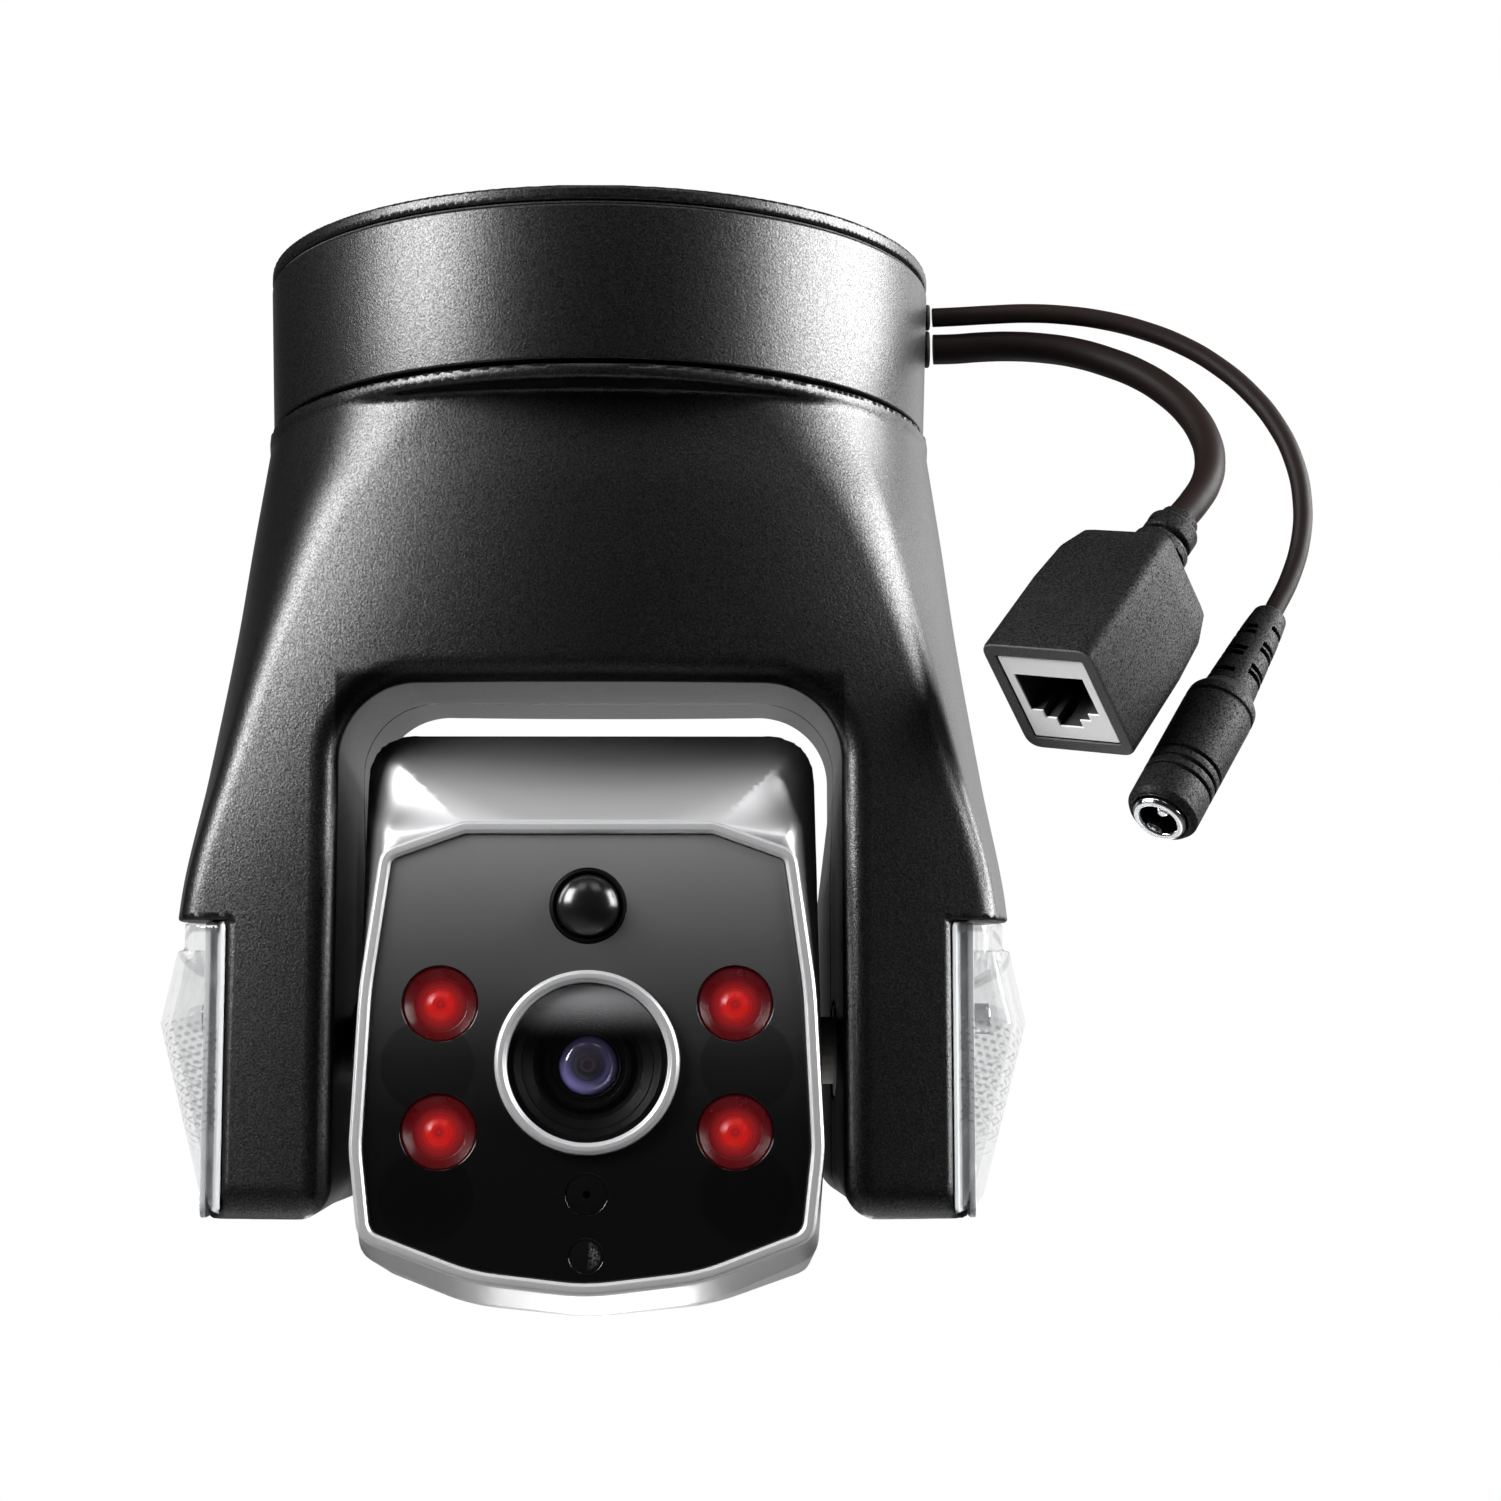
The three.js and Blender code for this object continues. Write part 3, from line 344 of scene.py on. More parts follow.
def flat_plastic(name, dark, light, rough, bump=0.15, **values):
    """Smooth moulded plastic or rubber with a fine matt skin."""
    f = Finish(name, **values)
    fine = f.noise(1400, 2.0)
    cloud = f.noise(45, 3.0)
    f.colour(f.mix(cloud, dark, light))
    f.rough(fine, *rough)
    f.bump((fine, bump, 0.03))
    return f.material


def circuit_board():
    """Green solder mask over copper tracks."""
    f = Finish("board", Coat_Weight=0.3)
    tracks = f.node("ShaderNodeTexBrick", offset=0.35)
    tracks.inputs["Scale"].default_value = 260
    tracks.inputs["Mortar Size"].default_value = 0.035
    tracks.inputs["Color1"].default_value = (0.012, 0.075, 0.03, 1)
    tracks.inputs["Color2"].default_value = (0.010, 0.062, 0.026, 1)
    tracks.inputs["Mortar"].default_value = (0.03, 0.16, 0.06, 1)
    f.link(f.place, tracks.inputs["Vector"])
    f.colour(tracks.outputs["Color"])
    f.rough(f.noise(300, 2.0), 0.3, 0.5)
    f.bump((tracks.outputs["Fac"], 0.3, 0.03))
    return f.material


def panel_gloss():
    """The front panel: gloss black, a shade darker over the four cells printed behind it, and painted lighter
    towards the top as a painted reflection.
    """
    f = Finish("panel_gloss", Specular_IOR_Level=0.6, Coat_Weight=0.25, Coat_Roughness=0.04)
    haze = f.noise(70, 4.0, 0.6)
    printed = None
    for x in (-22, 22):
        for z in (TILT_Z - 24.6, TILT_Z - 6.6):
            disc = f.band(f.radius((x, 0, z), "y"), 0.0066, 0.0063)
            printed = disc if printed is None else f.most(printed, disc)
    # Painted reflection: the panel's colour brightens from near black at the bottom to grey at the top,
    # standing in for reflected light from above.
    rise = f.node("ShaderNodeMapRange")
    rise.inputs["From Min"].default_value = -0.1415
    rise.inputs["From Max"].default_value = -0.0925
    f.link(f.coordinates()["Z"], rise.inputs["Value"])
    painted_reflection = f.ramp(rise.outputs["Result"], (0, 0.003), (0.2, 0.0045), (0.36, 0.012), (0.5, 0.03), (0.67, 0.06),
                  (0.82, 0.1), (1, 0.16))
    hazed = f.mix(haze, painted_reflection, f.mix(0.12, painted_reflection, BLACK))
    f.colour(f.mix(printed, hazed, f.mix(0.35, painted_reflection, BLACK)))
    f.rough(f.sum_of(haze, 0.5, printed, 0.5), 0.045, 0.085)
    f.bump((f.noise(40, 1.0), 0.04, 0.02))
    return f.material


def window_glass():
    """Flat clear glass over the lens, with a painted reflection: grey and less clear towards its top."""
    f = Finish("cover_glass", Coat_Weight=0.3)
    # Painted reflection: this band on height turns the glass grey and less clear towards its top.
    haze = f.band(f.coordinates()["Z"], -0.1212, -0.1138)
    f.colour(f.mix(haze, (0.01, 0.01, 0.011), (0.34, 0.34, 0.35)))
    f.link(f.math("MULTIPLY_ADD", haze, 0.75, 0.05), f.shader.inputs["Alpha"])
    f.rough(f.noise(60, 3.0), 0.0, 0.03)
    return f.material


def lens_coating():
    """Coated glass: violet towards the rim, then a blue-grey ring and a dark pupil; the upper half is dimmed
    towards grey as painted shade, so the violet is brightest in its lower half.
    """
    f = Finish("lens_coating", Coat_Weight=1.0, Coat_Roughness=0.02, Specular_IOR_Level=0.8)
    r = f.math("DIVIDE", f.radius((0, 0, LENS_Z), "y"), 0.0042)
    # Painted shade: the upper half of the lens is dimmed towards grey.
    upper = f.band(f.coordinates()["Z"], MM * LENS_Z - 0.0028, MM * LENS_Z + 0.0025)
    rings = f.ramp(
        r,
        (0.0, (0.02, 0.01, 0.012)),
        (0.1, (0.002, 0.002, 0.003)),
        (0.2, (0.05, 0.035, 0.05)),
        (0.33, (0.012, 0.012, 0.02)),
        (0.44, (0.035, 0.045, 0.06)),
        (0.52, (0.03, 0.03, 0.07)),
        (0.66, (0.16, 0.13, 0.36)),
        (0.88, (0.27, 0.25, 0.66)),
        (1.0, (0.08, 0.07, 0.2)),
    )
    f.colour(f.mix(upper, rings, f.mix(0.72, rings, (0.05, 0.04, 0.055))))
    f.rough(f.noise(400, 2.0), 0.08, 0.16)
    return f.material


def lit_emitter():
    """An infrared emitter behind its window, glowing deep red in rings round a bright middle."""
    f = Finish("lit_emitter", Emission_Strength=1.0)
    r = f.math("DIVIDE", f.radius((0, 0, 0), "y"), IR_WINDOW_R * MM)
    glow = f.ramp(
        r,
        (0.0, (0.80, 0.016, 0.010)),
        (0.06, (0.42, 0.014, 0.018)),
        (0.12, (0.5, 0.015, 0.016)),
        (0.17, (0.78, 0.016, 0.012)),
        (0.34, (0.74, 0.016, 0.013)),
        (0.42, (0.46, 0.017, 0.018)),
        (0.52, (0.34, 0.016, 0.018)),
        (0.62, (0.22, 0.012, 0.014)),
        (0.7, (0.13, 0.006, 0.008)),
        (0.76, (0.085, 0.002, 0.004)),
        (0.88, (0.065, 0.001, 0.003)),
        (0.96, (0.04, 0.001, 0.002)),
        (1.0, (0.015, 0.0, 0.0)),
    )
    ripple = f.math("SINE", f.times(r, 62))
    shade = f.math("MULTIPLY_ADD", ripple, 0.07, 0.93)
    scaled = f.mix(f.math("SUBTRACT", 1.0, shade), glow, BLACK)
    f.colour(f.mix(0.9, scaled, (0.01, 0.0, 0.0)))
    f.link(scaled, f.shader.inputs["Emission Color"])
    f.rough(f.noise(500, 2.0), 0.2, 0.4)
    return f.material


def light_sensor_finish():
    """A dark window with a sensor's grains behind it, lighter on one half only as painted light."""
    f = Finish("light_sensor_finish", Specular_IOR_Level=0.2)
    # Painted light: the grains show only on the +x half, painted as if that half were lit.
    side = f.band(f.coordinates()["X"], 0.0001, 0.0009)
    edge = f.band(f.radius((0, 0, LIGHT_SENSOR_Z), "y"), 0.0021, 0.0015)
    grains = f.band(f.noise(2600, 3.0, 0.7), 0.42, 0.72)
    painted_lit_grains = f.times(f.times(side, edge), grains)
    f.colour(f.mix(painted_lit_grains, (0.004, 0.004, 0.004), (0.13, 0.13, 0.14)))
    f.rough(f.noise(300), 0.1, 0.2)
    return f.material


CASING_LOOK = ((0.0012, 0.0012, 0.0014), (0.006, 0.006, 0.0065), (0.27, 0.4), 0.34, 0.085)
CASING = grained_plastic("casing", *CASING_LOOK)
HEAD_PAINT = brushed_metal("head_paint", (0.6, 0.6, 0.61), (0.7, 0.7, 0.71), (0.33, 0.42), 0.94, 0.2, 0.004)
SATIN_SILVER = brushed_metal("satin_silver", (0.36, 0.36, 0.365), (0.52, 0.52, 0.53), (0.34, 0.46),
                             0.45, 0.3, 0.015)
PANEL = panel_gloss()
BLACK_RUBBER = grained_plastic("black_rubber", (0.008, 0.008, 0.008), (0.016, 0.016, 0.016), (0.6, 0.8),
                               0.3, 0.03, Specular_IOR_Level=0.05)
CABLE = flat_plastic("cable_sheath", (0.007, 0.0035, 0.003), (0.011, 0.006, 0.0055), (0.5, 0.6), 0.04,
                     Specular_IOR_Level=0.15)
# The yoke's casing, with painted shade on the arch's inner walls and the front of its underside.
YOKE_CASING = grained_plastic("yoke_casing", *CASING_LOOK, painted_arch_shade=True)
CONNECTOR = grained_plastic("connector_pvc", (0.003, 0.003, 0.003), (0.012, 0.012, 0.012), (0.5, 0.66),
                            0.36, 0.06, glints=(0.02, 0.3))
CONNECTOR_FACE = grained_plastic("connector_face", (0.06, 0.06, 0.061), (0.08, 0.08, 0.082), (0.5, 0.65),
                                 0.3, 0.02)
SOCKET_PLATE = brushed_metal("socket_plate", (0.86, 0.86, 0.86), (0.94, 0.94, 0.93), (0.3, 0.42),
                             0.1, 0.6, 0.01)
SOCKET_DARK = flat_plastic("socket_dark", (0.003, 0.003, 0.003), (0.006, 0.006, 0.006), (0.5, 0.7))
GOLD = brushed_metal("gold_contacts", (0.7, 0.45, 0.14), (0.85, 0.6, 0.24), (0.15, 0.3))
CHROME = brushed_metal("chrome", (0.72, 0.72, 0.73), (0.85, 0.85, 0.86), (0.06, 0.14), 1.0, 1.5, 0.01)
STEEL = brushed_metal("steel", (0.3, 0.3, 0.3), (0.45, 0.45, 0.46), (0.25, 0.4), 1.0, 0.6, 0.015)
BLACK_STEEL = brushed_metal("black_steel", (0.03, 0.03, 0.032), (0.06, 0.06, 0.062), (0.25, 0.4),
                            0.9, 0.6, 0.015)
BRASS = brushed_metal("brass", (0.5, 0.34, 0.11), (0.66, 0.46, 0.18), (0.22, 0.36))
ACETAL = flat_plastic("acetal", (0.66, 0.64, 0.58), (0.74, 0.72, 0.67), (0.35, 0.5))
WHITE_PLATE = flat_plastic("white_plate", (0.4, 0.41, 0.42), (0.48, 0.49, 0.5), (0.3, 0.45))
BOARD = circuit_board()
CLEAR = clear_cover()
COVER_GLASS = window_glass()
RED_WINDOW = red_window()
LENS_GLASS = lens_coating()
SMOKED = black_gloss("smoked_dome", (0.004, 0.004, 0.0045), (0.16, 0.3))
BAFFLE = black_gloss("baffle", (0.0015, 0.0015, 0.0015), (0.4, 0.6), Specular_IOR_Level=0.05)
EMITTER = lit_emitter()
SENSOR = light_sensor_finish()

# ---------------------------------------------------------------- outlines and turned, lofted and cut pieces


def rounded(corners, steps=5, closed=True):
    """Points of an outline whose corners are (x, y, radius)."""
    corners = [(*c, 0)[:3] for c in corners]
    count = len(corners)
    points = []
    for i, (x, y, radius) in enumerate(corners):
        here = np.array((x, y), float)
        if radius == 0 or (not closed and i in (0, count - 1)):
            points.append(here)
            continue
        before = np.array(corners[i - 1][:2]) - here
        after = np.array(corners[(i + 1) % count][:2]) - here
        long_before, long_after = np.linalg.norm(before), np.linalg.norm(after)
        cosine = before @ after / (long_before * long_after)
        half = math.acos(max(-1, min(1, cosine))) / 2
        reach = min(radius / math.tan(half), 0.49 * long_before, 0.49 * long_after)
        start, end = here + before / long_before * reach, here + after / long_after * reach
        for k in range(steps + 1):
            t = k / steps
            points.append((1 - t) ** 2 * start + 2 * t * (1 - t) * here + t * t * end)
    return np.array(points)


def inset(loop, distance):
    """An anticlockwise loop of points moved inwards."""
    edges = np.roll(loop, -1, 0) - loop
    edges /= np.maximum(np.linalg.norm(edges, axis=1, keepdims=True), 1e-9)
    normals = np.stack([-edges[:, 1], edges[:, 0]], 1)
    middle = normals + np.roll(normals, 1, 0)
    middle /= np.linalg.norm(middle, axis=1, keepdims=True)
    stretch = np.maximum((middle * normals).sum(1, keepdims=True), 0.5)
    return loop + middle * distance / stretch


def spread(loop, spacing):
    """The same loop with its long edges split."""
    points = []
    for a, b in zip(loop, np.roll(loop, -1, 0)):
        cuts = max(1, int(round(np.linalg.norm(b - a) / spacing)))
        points.extend(a + (b - a) * k / cuts for k in range(cuts))
    return np.array(points)


def make(name, points, faces, materials, sharp=30, face_materials=None, normals=None):
    """An object in metres from points in millimetres."""
    mesh = bpy.data.meshes.new(name)
    mesh.from_pydata((np.asarray(points) * MM).tolist(), [], [list(map(int, f)) for f in faces])
    for m in materials if isinstance(materials, (list, tuple)) else [materials]:
        mesh.materials.append(m)
    if face_materials is not None:
        mesh.polygons.foreach_set("material_index", np.asarray(face_materials, np.int32))
    mesh.polygons.foreach_set("use_smooth", np.ones(len(mesh.polygons), bool))
    if normals is None:
        mesh.set_sharp_from_angle(angle=math.radians(sharp))
    else:
        mesh.normals_split_custom_set_from_vertices(normals.tolist())
    mesh.update()
    piece = bpy.data.objects.new(name, mesh)
    bpy.context.scene.collection.objects.link(piece)
    return piece


def install(piece, body, slot, *nodes, matrix=None):
    if matrix is not None:
        piece.data.transform(matrix)
    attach(piece, body)
    if nodes:
        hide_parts(*nodes)
    return piece


def turned(name, profile, finish, steps=3, axis="z", centre=(0, 0, 0), segments=96):
    """An object turned from a profile of corners that runs outwards first."""
    return make(name, *turn(rounded(profile, steps)[::-1], axis, centre, segments), finish)


def skin(rings, loop=False):
    """Points and faces over rings of equally many points. The last ring meets the first in a loop."""
    rings = np.asarray(rings, float)
    count, size = rings.shape[:2]
    points = rings.reshape(-1, 3)
    faces = []
    for i in range(count if loop else count - 1):
        low, high = i * size, ((i + 1) % count) * size
        for j in range(size):
            k = (j + 1) % size
            faces.append((low + j, low + k, high + k, high + j))
    if not loop:
        faces.append(tuple(reversed(range(size))))
        faces.append(tuple(range((count - 1) * size, count * size)))
    return points, faces


def turn(profile, axis="z", centre=(0, 0, 0), segments=96):
    """Points and faces of a profile of (radius, height) turned about an axis, and closed."""
    angles = np.linspace(0, 2 * np.pi, segments, endpoint=False)
    profile = np.asarray(profile, float)
    on_axis = profile[:, 0] < 1e-6
    points, rows = [], []
    for (radius, height), pole in zip(profile, on_axis):
        rows.append((len(points), pole))
        for a in angles[:1] if pole else angles:
            points.append((radius * math.cos(a), radius * math.sin(a), height))
    faces = []
    pairs = list(zip(rows, rows[1:]))
    if not (on_axis[0] and on_axis[-1]):
        pairs.append((rows[-1], rows[0]))
    for (a, a_pole), (b, b_pole) in pairs:
        for j in range(segments):
            k = (j + 1) % segments
            if a_pole and b_pole:
                continue
            if a_pole:
                faces.append((a, b + k, b + j))
            elif b_pole:
                faces.append((a + j, a + k, b))
            else:
                faces.append((a + j, a + k, b + k, b + j))
    points = np.array(points)
    if axis == "x":
        points = points[:, [2, 0, 1]]
    elif axis == "front":
        points = np.stack([points[:, 0], -points[:, 2], points[:, 1]], 1)
    return points + np.array(centre, float), faces


def merge(*solids):
    points, faces = [], []
    offset = 0
    for p, f in solids:
        points.append(p)
        faces.extend(tuple(i + offset for i in face) for face in f)
        offset += len(p)
    return np.concatenate(points), faces


def plate(loops, span, plane, bevel):
    """Points and faces of a flat plate with holes: outlines in a plane, a bevel on every edge."""
    low, high = span
    data = bpy.data.curves.new("plate", "CURVE")
    data.dimensions = "2D"
    data.fill_mode = "BOTH"
    data.extrude = ((high - low) / 2 - bevel) * MM
    data.bevel_depth = bevel * MM
    data.bevel_resolution = 2
    data.offset = -bevel * MM
    for loop in loops:
        spline = data.splines.new("POLY")
        spline.points.add(len(loop) - 1)
        for point, (x, y) in zip(spline.points, loop):
            point.co = (x * MM, y * MM, 0, 1)
        spline.use_cyclic_u = True
    holder = bpy.data.objects.new("plate", data)
    bpy.context.scene.collection.objects.link(holder)
    bpy.context.view_layer.update()
    mesh = bpy.data.meshes.new_from_object(holder.evaluated_get(bpy.context.evaluated_depsgraph_get()))
    points = np.array([v.co for v in mesh.vertices]) / MM
    faces = [tuple(f.vertices) for f in mesh.polygons]
    bpy.data.objects.remove(holder)
    bpy.data.meshes.remove(mesh)
    middle = (low + high) / 2
    u, v, w = points.T
    if plane == "front":
        return np.stack([u, middle - w, v], 1), faces
    if plane == "x":
        return np.stack([w + middle, u, v], 1), faces
    return np.stack([u, v, w + middle], 1), faces


def circle(x, y, radius, count=64):
    angles = np.linspace(0, 2 * np.pi, count, endpoint=False)
    return np.stack([x + radius * np.cos(angles), y + radius * np.sin(angles)], 1)


# ---------------------------------------------------------------- smooth solids from distance fields


def fillet_union(a, b, radius):
    return np.maximum(radius, np.minimum(a, b)) - np.hypot(
        np.maximum(radius - a, 0), np.maximum(radius - b, 0)
    )


def fillet_common(a, b, radius):
    return -fillet_union(-a, -b, radius)


def smooth_max(a, b, width):
    """The larger of two fields, blended where they differ by less than the width."""
    return np.maximum(a, b) + np.maximum(width - np.abs(a - b), 0) ** 2 / (4 * width)


def box_field(*spans):
    """Field of a box from pairs of (distance from its middle, half its length)."""
    field = -np.inf
    for distance, half in spans:
        field = np.maximum(field, distance - half)
    return field


def cross_field(u, v, half_width, half_length):
    """Field of an upright cross."""
    return np.minimum(
        box_field((np.abs(u), half_width), (np.abs(v), half_length)),
        box_field((np.abs(v), half_width), (np.abs(u), half_length)),
    )


def outline_distance(loop, u, v):
    """Distance outside a closed loop of points, negative inside it."""
    nearest = np.inf
    inside = False
    for (x0, y0), (x1, y1) in zip(loop, np.roll(loop, -1, 0)):
        ex, ey = x1 - x0, y1 - y0
        wx, wy = u - x0, v - y0
        t = np.clip((wx * ex + wy * ey) / (ex * ex + ey * ey), 0, 1)
        nearest = np.minimum(nearest, (wx - ex * t) ** 2 + (wy - ey * t) ** 2)
        if ey != 0:
            inside = inside ^ (((y0 > v) != (y1 > v)) & (u < ex * wy / ey + x0))
    return np.where(inside, -1, 1) * np.sqrt(nearest)


def slope_of(field, points):
    reach = 0.04
    columns = []
    for axis in range(3):
        step = np.zeros(3)
        step[axis] = reach
        columns.append((field(*(points + step).T) - field(*(points - step).T)) / (2 * reach))
    return np.stack(columns, 1)


def surface_of(field, low, high, step):
    """Points, quads and normals of a field's zero surface, on a grid of cells and then moved onto it."""
    axes = [np.arange(a - 1.5 * step, b + 2.5 * step, step) for a, b in zip(low, high)]
    shape = tuple(len(a) for a in axes)
    value = np.broadcast_to(
        field(axes[0][:, None, None], axes[1][None, :, None], axes[2][None, None, :]), shape
    ).astype(np.float32)
    inside = value < 0
    corners = list(np.ndindex(2, 2, 2))
    count = sum(
        inside[i:shape[0] - 1 + i, j:shape[1] - 1 + j, k:shape[2] - 1 + k].astype(np.uint8)
        for i, j, k in corners
    )
    active = (count > 0) & (count < 8)
    cells = np.argwhere(active)
    number = np.full(active.shape, -1, np.int32)
    number[active] = np.arange(len(cells))
    corner_values = {c: value[tuple((cells + c).T)] for c in corners}
    total, hits = np.zeros((len(cells), 3)), np.zeros((len(cells), 1))
    for a in corners:
        for axis in range(3):
            if a[axis] == 0:
                b = tuple(1 if i == axis else a[i] for i in range(3))
                va, vb = corner_values[a], corner_values[b]
                crossing = ((va < 0) != (vb < 0))[:, None]
                t = np.where(crossing[:, 0], va / np.where(va == vb, 1, va - vb), 0)[:, None]
                total += crossing * (np.array(a) + t * (np.array(b) - np.array(a)))
                hits += crossing
    points = (cells + total / hits) * step + np.array([a[0] for a in axes])
    for _ in range(2):
        slope = slope_of(field, points)
        move = field(*points.T) / np.maximum((slope ** 2).sum(1), 0.2)
        points = points - slope * np.clip(move, -0.5 * step, 0.5 * step)[:, None]
    slope = slope_of(field, points)
    normals = slope / np.maximum(np.linalg.norm(slope, axis=1, keepdims=True), 1e-6)
    faces = []
    for axis in range(3):
        b, c = (axis + 1) % 3, (axis + 2) % 3
        near = [slice(1, -1)] * 3
        far = [slice(1, -1)] * 3
        near[axis], far[axis] = slice(0, -1), slice(1, None)
        differ = inside[tuple(near)] != inside[tuple(far)]
        place = np.argwhere(differ)
        place[:, b] += 1
        place[:, c] += 1
        outward = inside[tuple(place.T)]
        unit = np.eye(3, dtype=int)
        quad = np.stack([
            number[tuple((place - s).T)] for s in (0 * unit[b], unit[b], unit[b] + unit[c], unit[c])
        ], 1)
        faces.append(np.where(outward[:, None], quad, quad[:, ::-1]))
    return points, np.concatenate(faces), normals


def moulded(name, field, low, high, step, finish):
    points, faces, normals = surface_of(field, low, high, step)
    return make(name, points, faces, finish, normals=normals)


# ---------------------------------------------------------------- leads

NETWORK_ROUTE = [
    (51.2, 3, -9.5), (54.5, 3, -9.4), (58.5, 3, -9.1), (63, 2.9, -9), (68, 2.4, -9.4),
    (73, 1.2, -10.5), (77.8, -0.8, -12.5), (82.2, -3.6, -15.2), (85.9, -6.9, -18.7),
    (88.8, -10.6, -22.9), (90.6, -14.2, -27.5), (91, -17.5, -32.1), (89.9, -20.5, -36.4),
    (87.9, -22.7, -39.7), (85.7, -24.3, -42.5),
]
POWER_ROUTE = [
    (51, 1, -5), (55, 1, -4.8), (60, 1, -4.5), (65.5, 0.6, -4.4), (71, 0, -4.8),
    (77, -1, -5.9), (83, -2.5, -7.9), (88.8, -4.6, -10.9), (94, -7.2, -15), (98.4, -10, -20),
    (101.7, -12.8, -25.6), (103.8, -15.2, -31.6), (104.6, -17.1, -38), (104, -18.7, -44.4),
    (102.1, -20.1, -50.4), (99.1, -22, -56.2),
]


def lead(name, route, radius):
    data = bpy.data.curves.new(name, "CURVE")
    data.dimensions = "3D"
    data.bevel_depth = radius * MM
    data.bevel_resolution = 10
    data.resolution_u = 10
    data.use_fill_caps = True
    spline = data.splines.new("BEZIER")
    spline.bezier_points.add(len(route) - 1)
    for point, place in zip(spline.bezier_points, route):
        point.co = [MM * c for c in place]
        point.handle_left_type = point.handle_right_type = "AUTO"
    data.materials.append(CABLE)
    piece = bpy.data.objects.new(name, data)
    bpy.context.scene.collection.objects.link(piece)
    return piece


def connector_matrix(mouth, across, up):
    x = Vector(across).normalized()
    y = Vector(up)
    y = (y - x * y.dot(x)).normalized()
    turn_to = Matrix((x, y, x.cross(y))).transposed().to_4x4()
    return Matrix.Translation(Vector(mouth) * MM) @ turn_to


SOCKET = connector_matrix((66, -39.7, -72.5), (0.765, -0.616, -0.187), (-0.399, -0.682, 0.613))
SOCKET_W, SOCKET_H, SOCKET_L = 18.9, 20.3, 27.2
POCKET_W, POCKET_H = 14.6, 15.6
JACK_AXIS = Vector((0.451, 0.423, 0.786)).normalized()
JACK_SIDE = Vector((0, 1, 0)).cross(JACK_AXIS).normalized()
JACK = connector_matrix((79.8, -40, -89.8), JACK_SIDE, JACK_SIDE.cross(JACK_AXIS))


def rounded_box(half_u, half_v, radius, steps=6):
    return rounded([
        (-half_u, -half_v, radius), (half_u, -half_v, radius),
        (half_u, half_v, radius), (-half_u, half_v, radius),
    ], steps)


def socket_housing():
    """Tapered block with a pocket in its mouth, and the ribbed relief behind it."""
    rings = []

    def ring(half_u, half_v, radius, z):
        loop = rounded_box(half_u, half_v, radius)
        rings.append([(u, v, z) for u, v in loop])

    for z, scale, radius in (
        (-SOCKET_L, 0.70, 2.0), (-SOCKET_L, 0.78, 2.0), (-SOCKET_L + 0.6, 0.83, 2.2),
        (-22.5, 0.935, 2.4), (-22.1, 0.942, 2.4), (-15.2, 0.982, 2.4), (-14.8, 0.985, 2.5),
        (-0.5, 1, 2.5), (-0.15, 0.992, 2.4), (0, 0.975, 2.3),
    ):
        ring(SOCKET_W / 2 * scale, SOCKET_H / 2 * scale, radius, z)
    for half, deep in ((0.3, 0), (0.15, -0.15), (0.15, -13.2)):
        ring(POCKET_W / 2 + half, POCKET_H / 2 + half, 0.5, deep)
    block, faces = skin(rings)
    per_ring = len(rings[0])
    rim = range(8 * per_ring, 11 * per_ring)
    front = [int(i in rim) for i in range(len(faces))]

    def relief(x, y, z):
        rise = -z - SOCKET_L
        radial = np.hypot(x, y)
        core = np.maximum(radial - 3.15 + 0.02 * rise, np.maximum(-rise - 2, rise - 11.4))
        solid = core
        for start, high, radius in ((-2, 0.9, 4.5), (1.8, 5.5, 4.4), (6.5, 9.6, 3.95)):
            rib = fillet_common(radial - radius, np.abs(rise - (start + high) / 2) - (high - start) / 2, 0.5)
            solid = np.minimum(solid, rib)
        for start, side in ((2.9, 1), (7.6, -1)):
            slot = np.maximum(np.abs(rise - start - 0.4) - 0.42, 1.2 - side * x)
            solid = np.maximum(solid, -np.maximum(slot, 2.9 - radial))
        return solid

    piece = make("network_socket_housing_fine", block, faces, [CONNECTOR, CONNECTOR_FACE], 28, front)
    low, high = (-4.6, -4.6, -SOCKET_L - 11.5), (4.6, 4.6, -SOCKET_L + 2)
    return piece, moulded("network_socket_relief", relief, low, high, 0.3, CONNECTOR)


def socket_insert():
    """Face plate with the stepped opening, its walls and floor in black, eight gold contacts."""
    opening = np.array([
        (-5.85, 4.3), (-5.85, -2.6), (-3.9, -2.6), (-3.9, -3.9), (-2, -3.9), (-2, -5.4),
        (2, -5.4), (2, -3.9), (3.9, -3.9), (3.9, -2.6), (5.85, -2.6), (5.85, 4.3),
    ])
    outer = rounded_box(POCKET_W / 2, POCKET_H / 2, 0.4, 3)
    face = plate([outer, opening], (-0.55, -0.25), "z", 0.08)
    wall = plate([inset(outer, 0.25), opening], (-13.1, -0.6), "z", 0.05)
    floor = plate([inset(outer, 0.4)], (-13.2, -11.6), "z", 0.05)
    contacts = []
    for i in range(8):
        x = (i - 3.5) * 1.02
        path = rounded([(4.0, -11.4), (3.4, -7.5, 0.8), (1.2, -3.2, 0.8), (2.3, -2.1)], 4, closed=False)
        corners = [(a, b, b) for a, b in ((-0.22, -0.12), (0.22, -0.12), (0.22, 0.12), (-0.22, 0.12))]
        contacts.append(skin([np.array(corners) + (x, y, z) for y, z in path]))
    points, faces = merge(face, wall, floor, *contacts)
    bright, dark = len(face[1]), len(wall[1]) + len(floor[1])
    kinds = np.repeat([0, 1, 2], [bright, dark, len(faces) - bright - dark])
    return make("network_socket_insert_fine", points, faces, [SOCKET_PLATE, SOCKET_DARK, GOLD], 30, kinds)


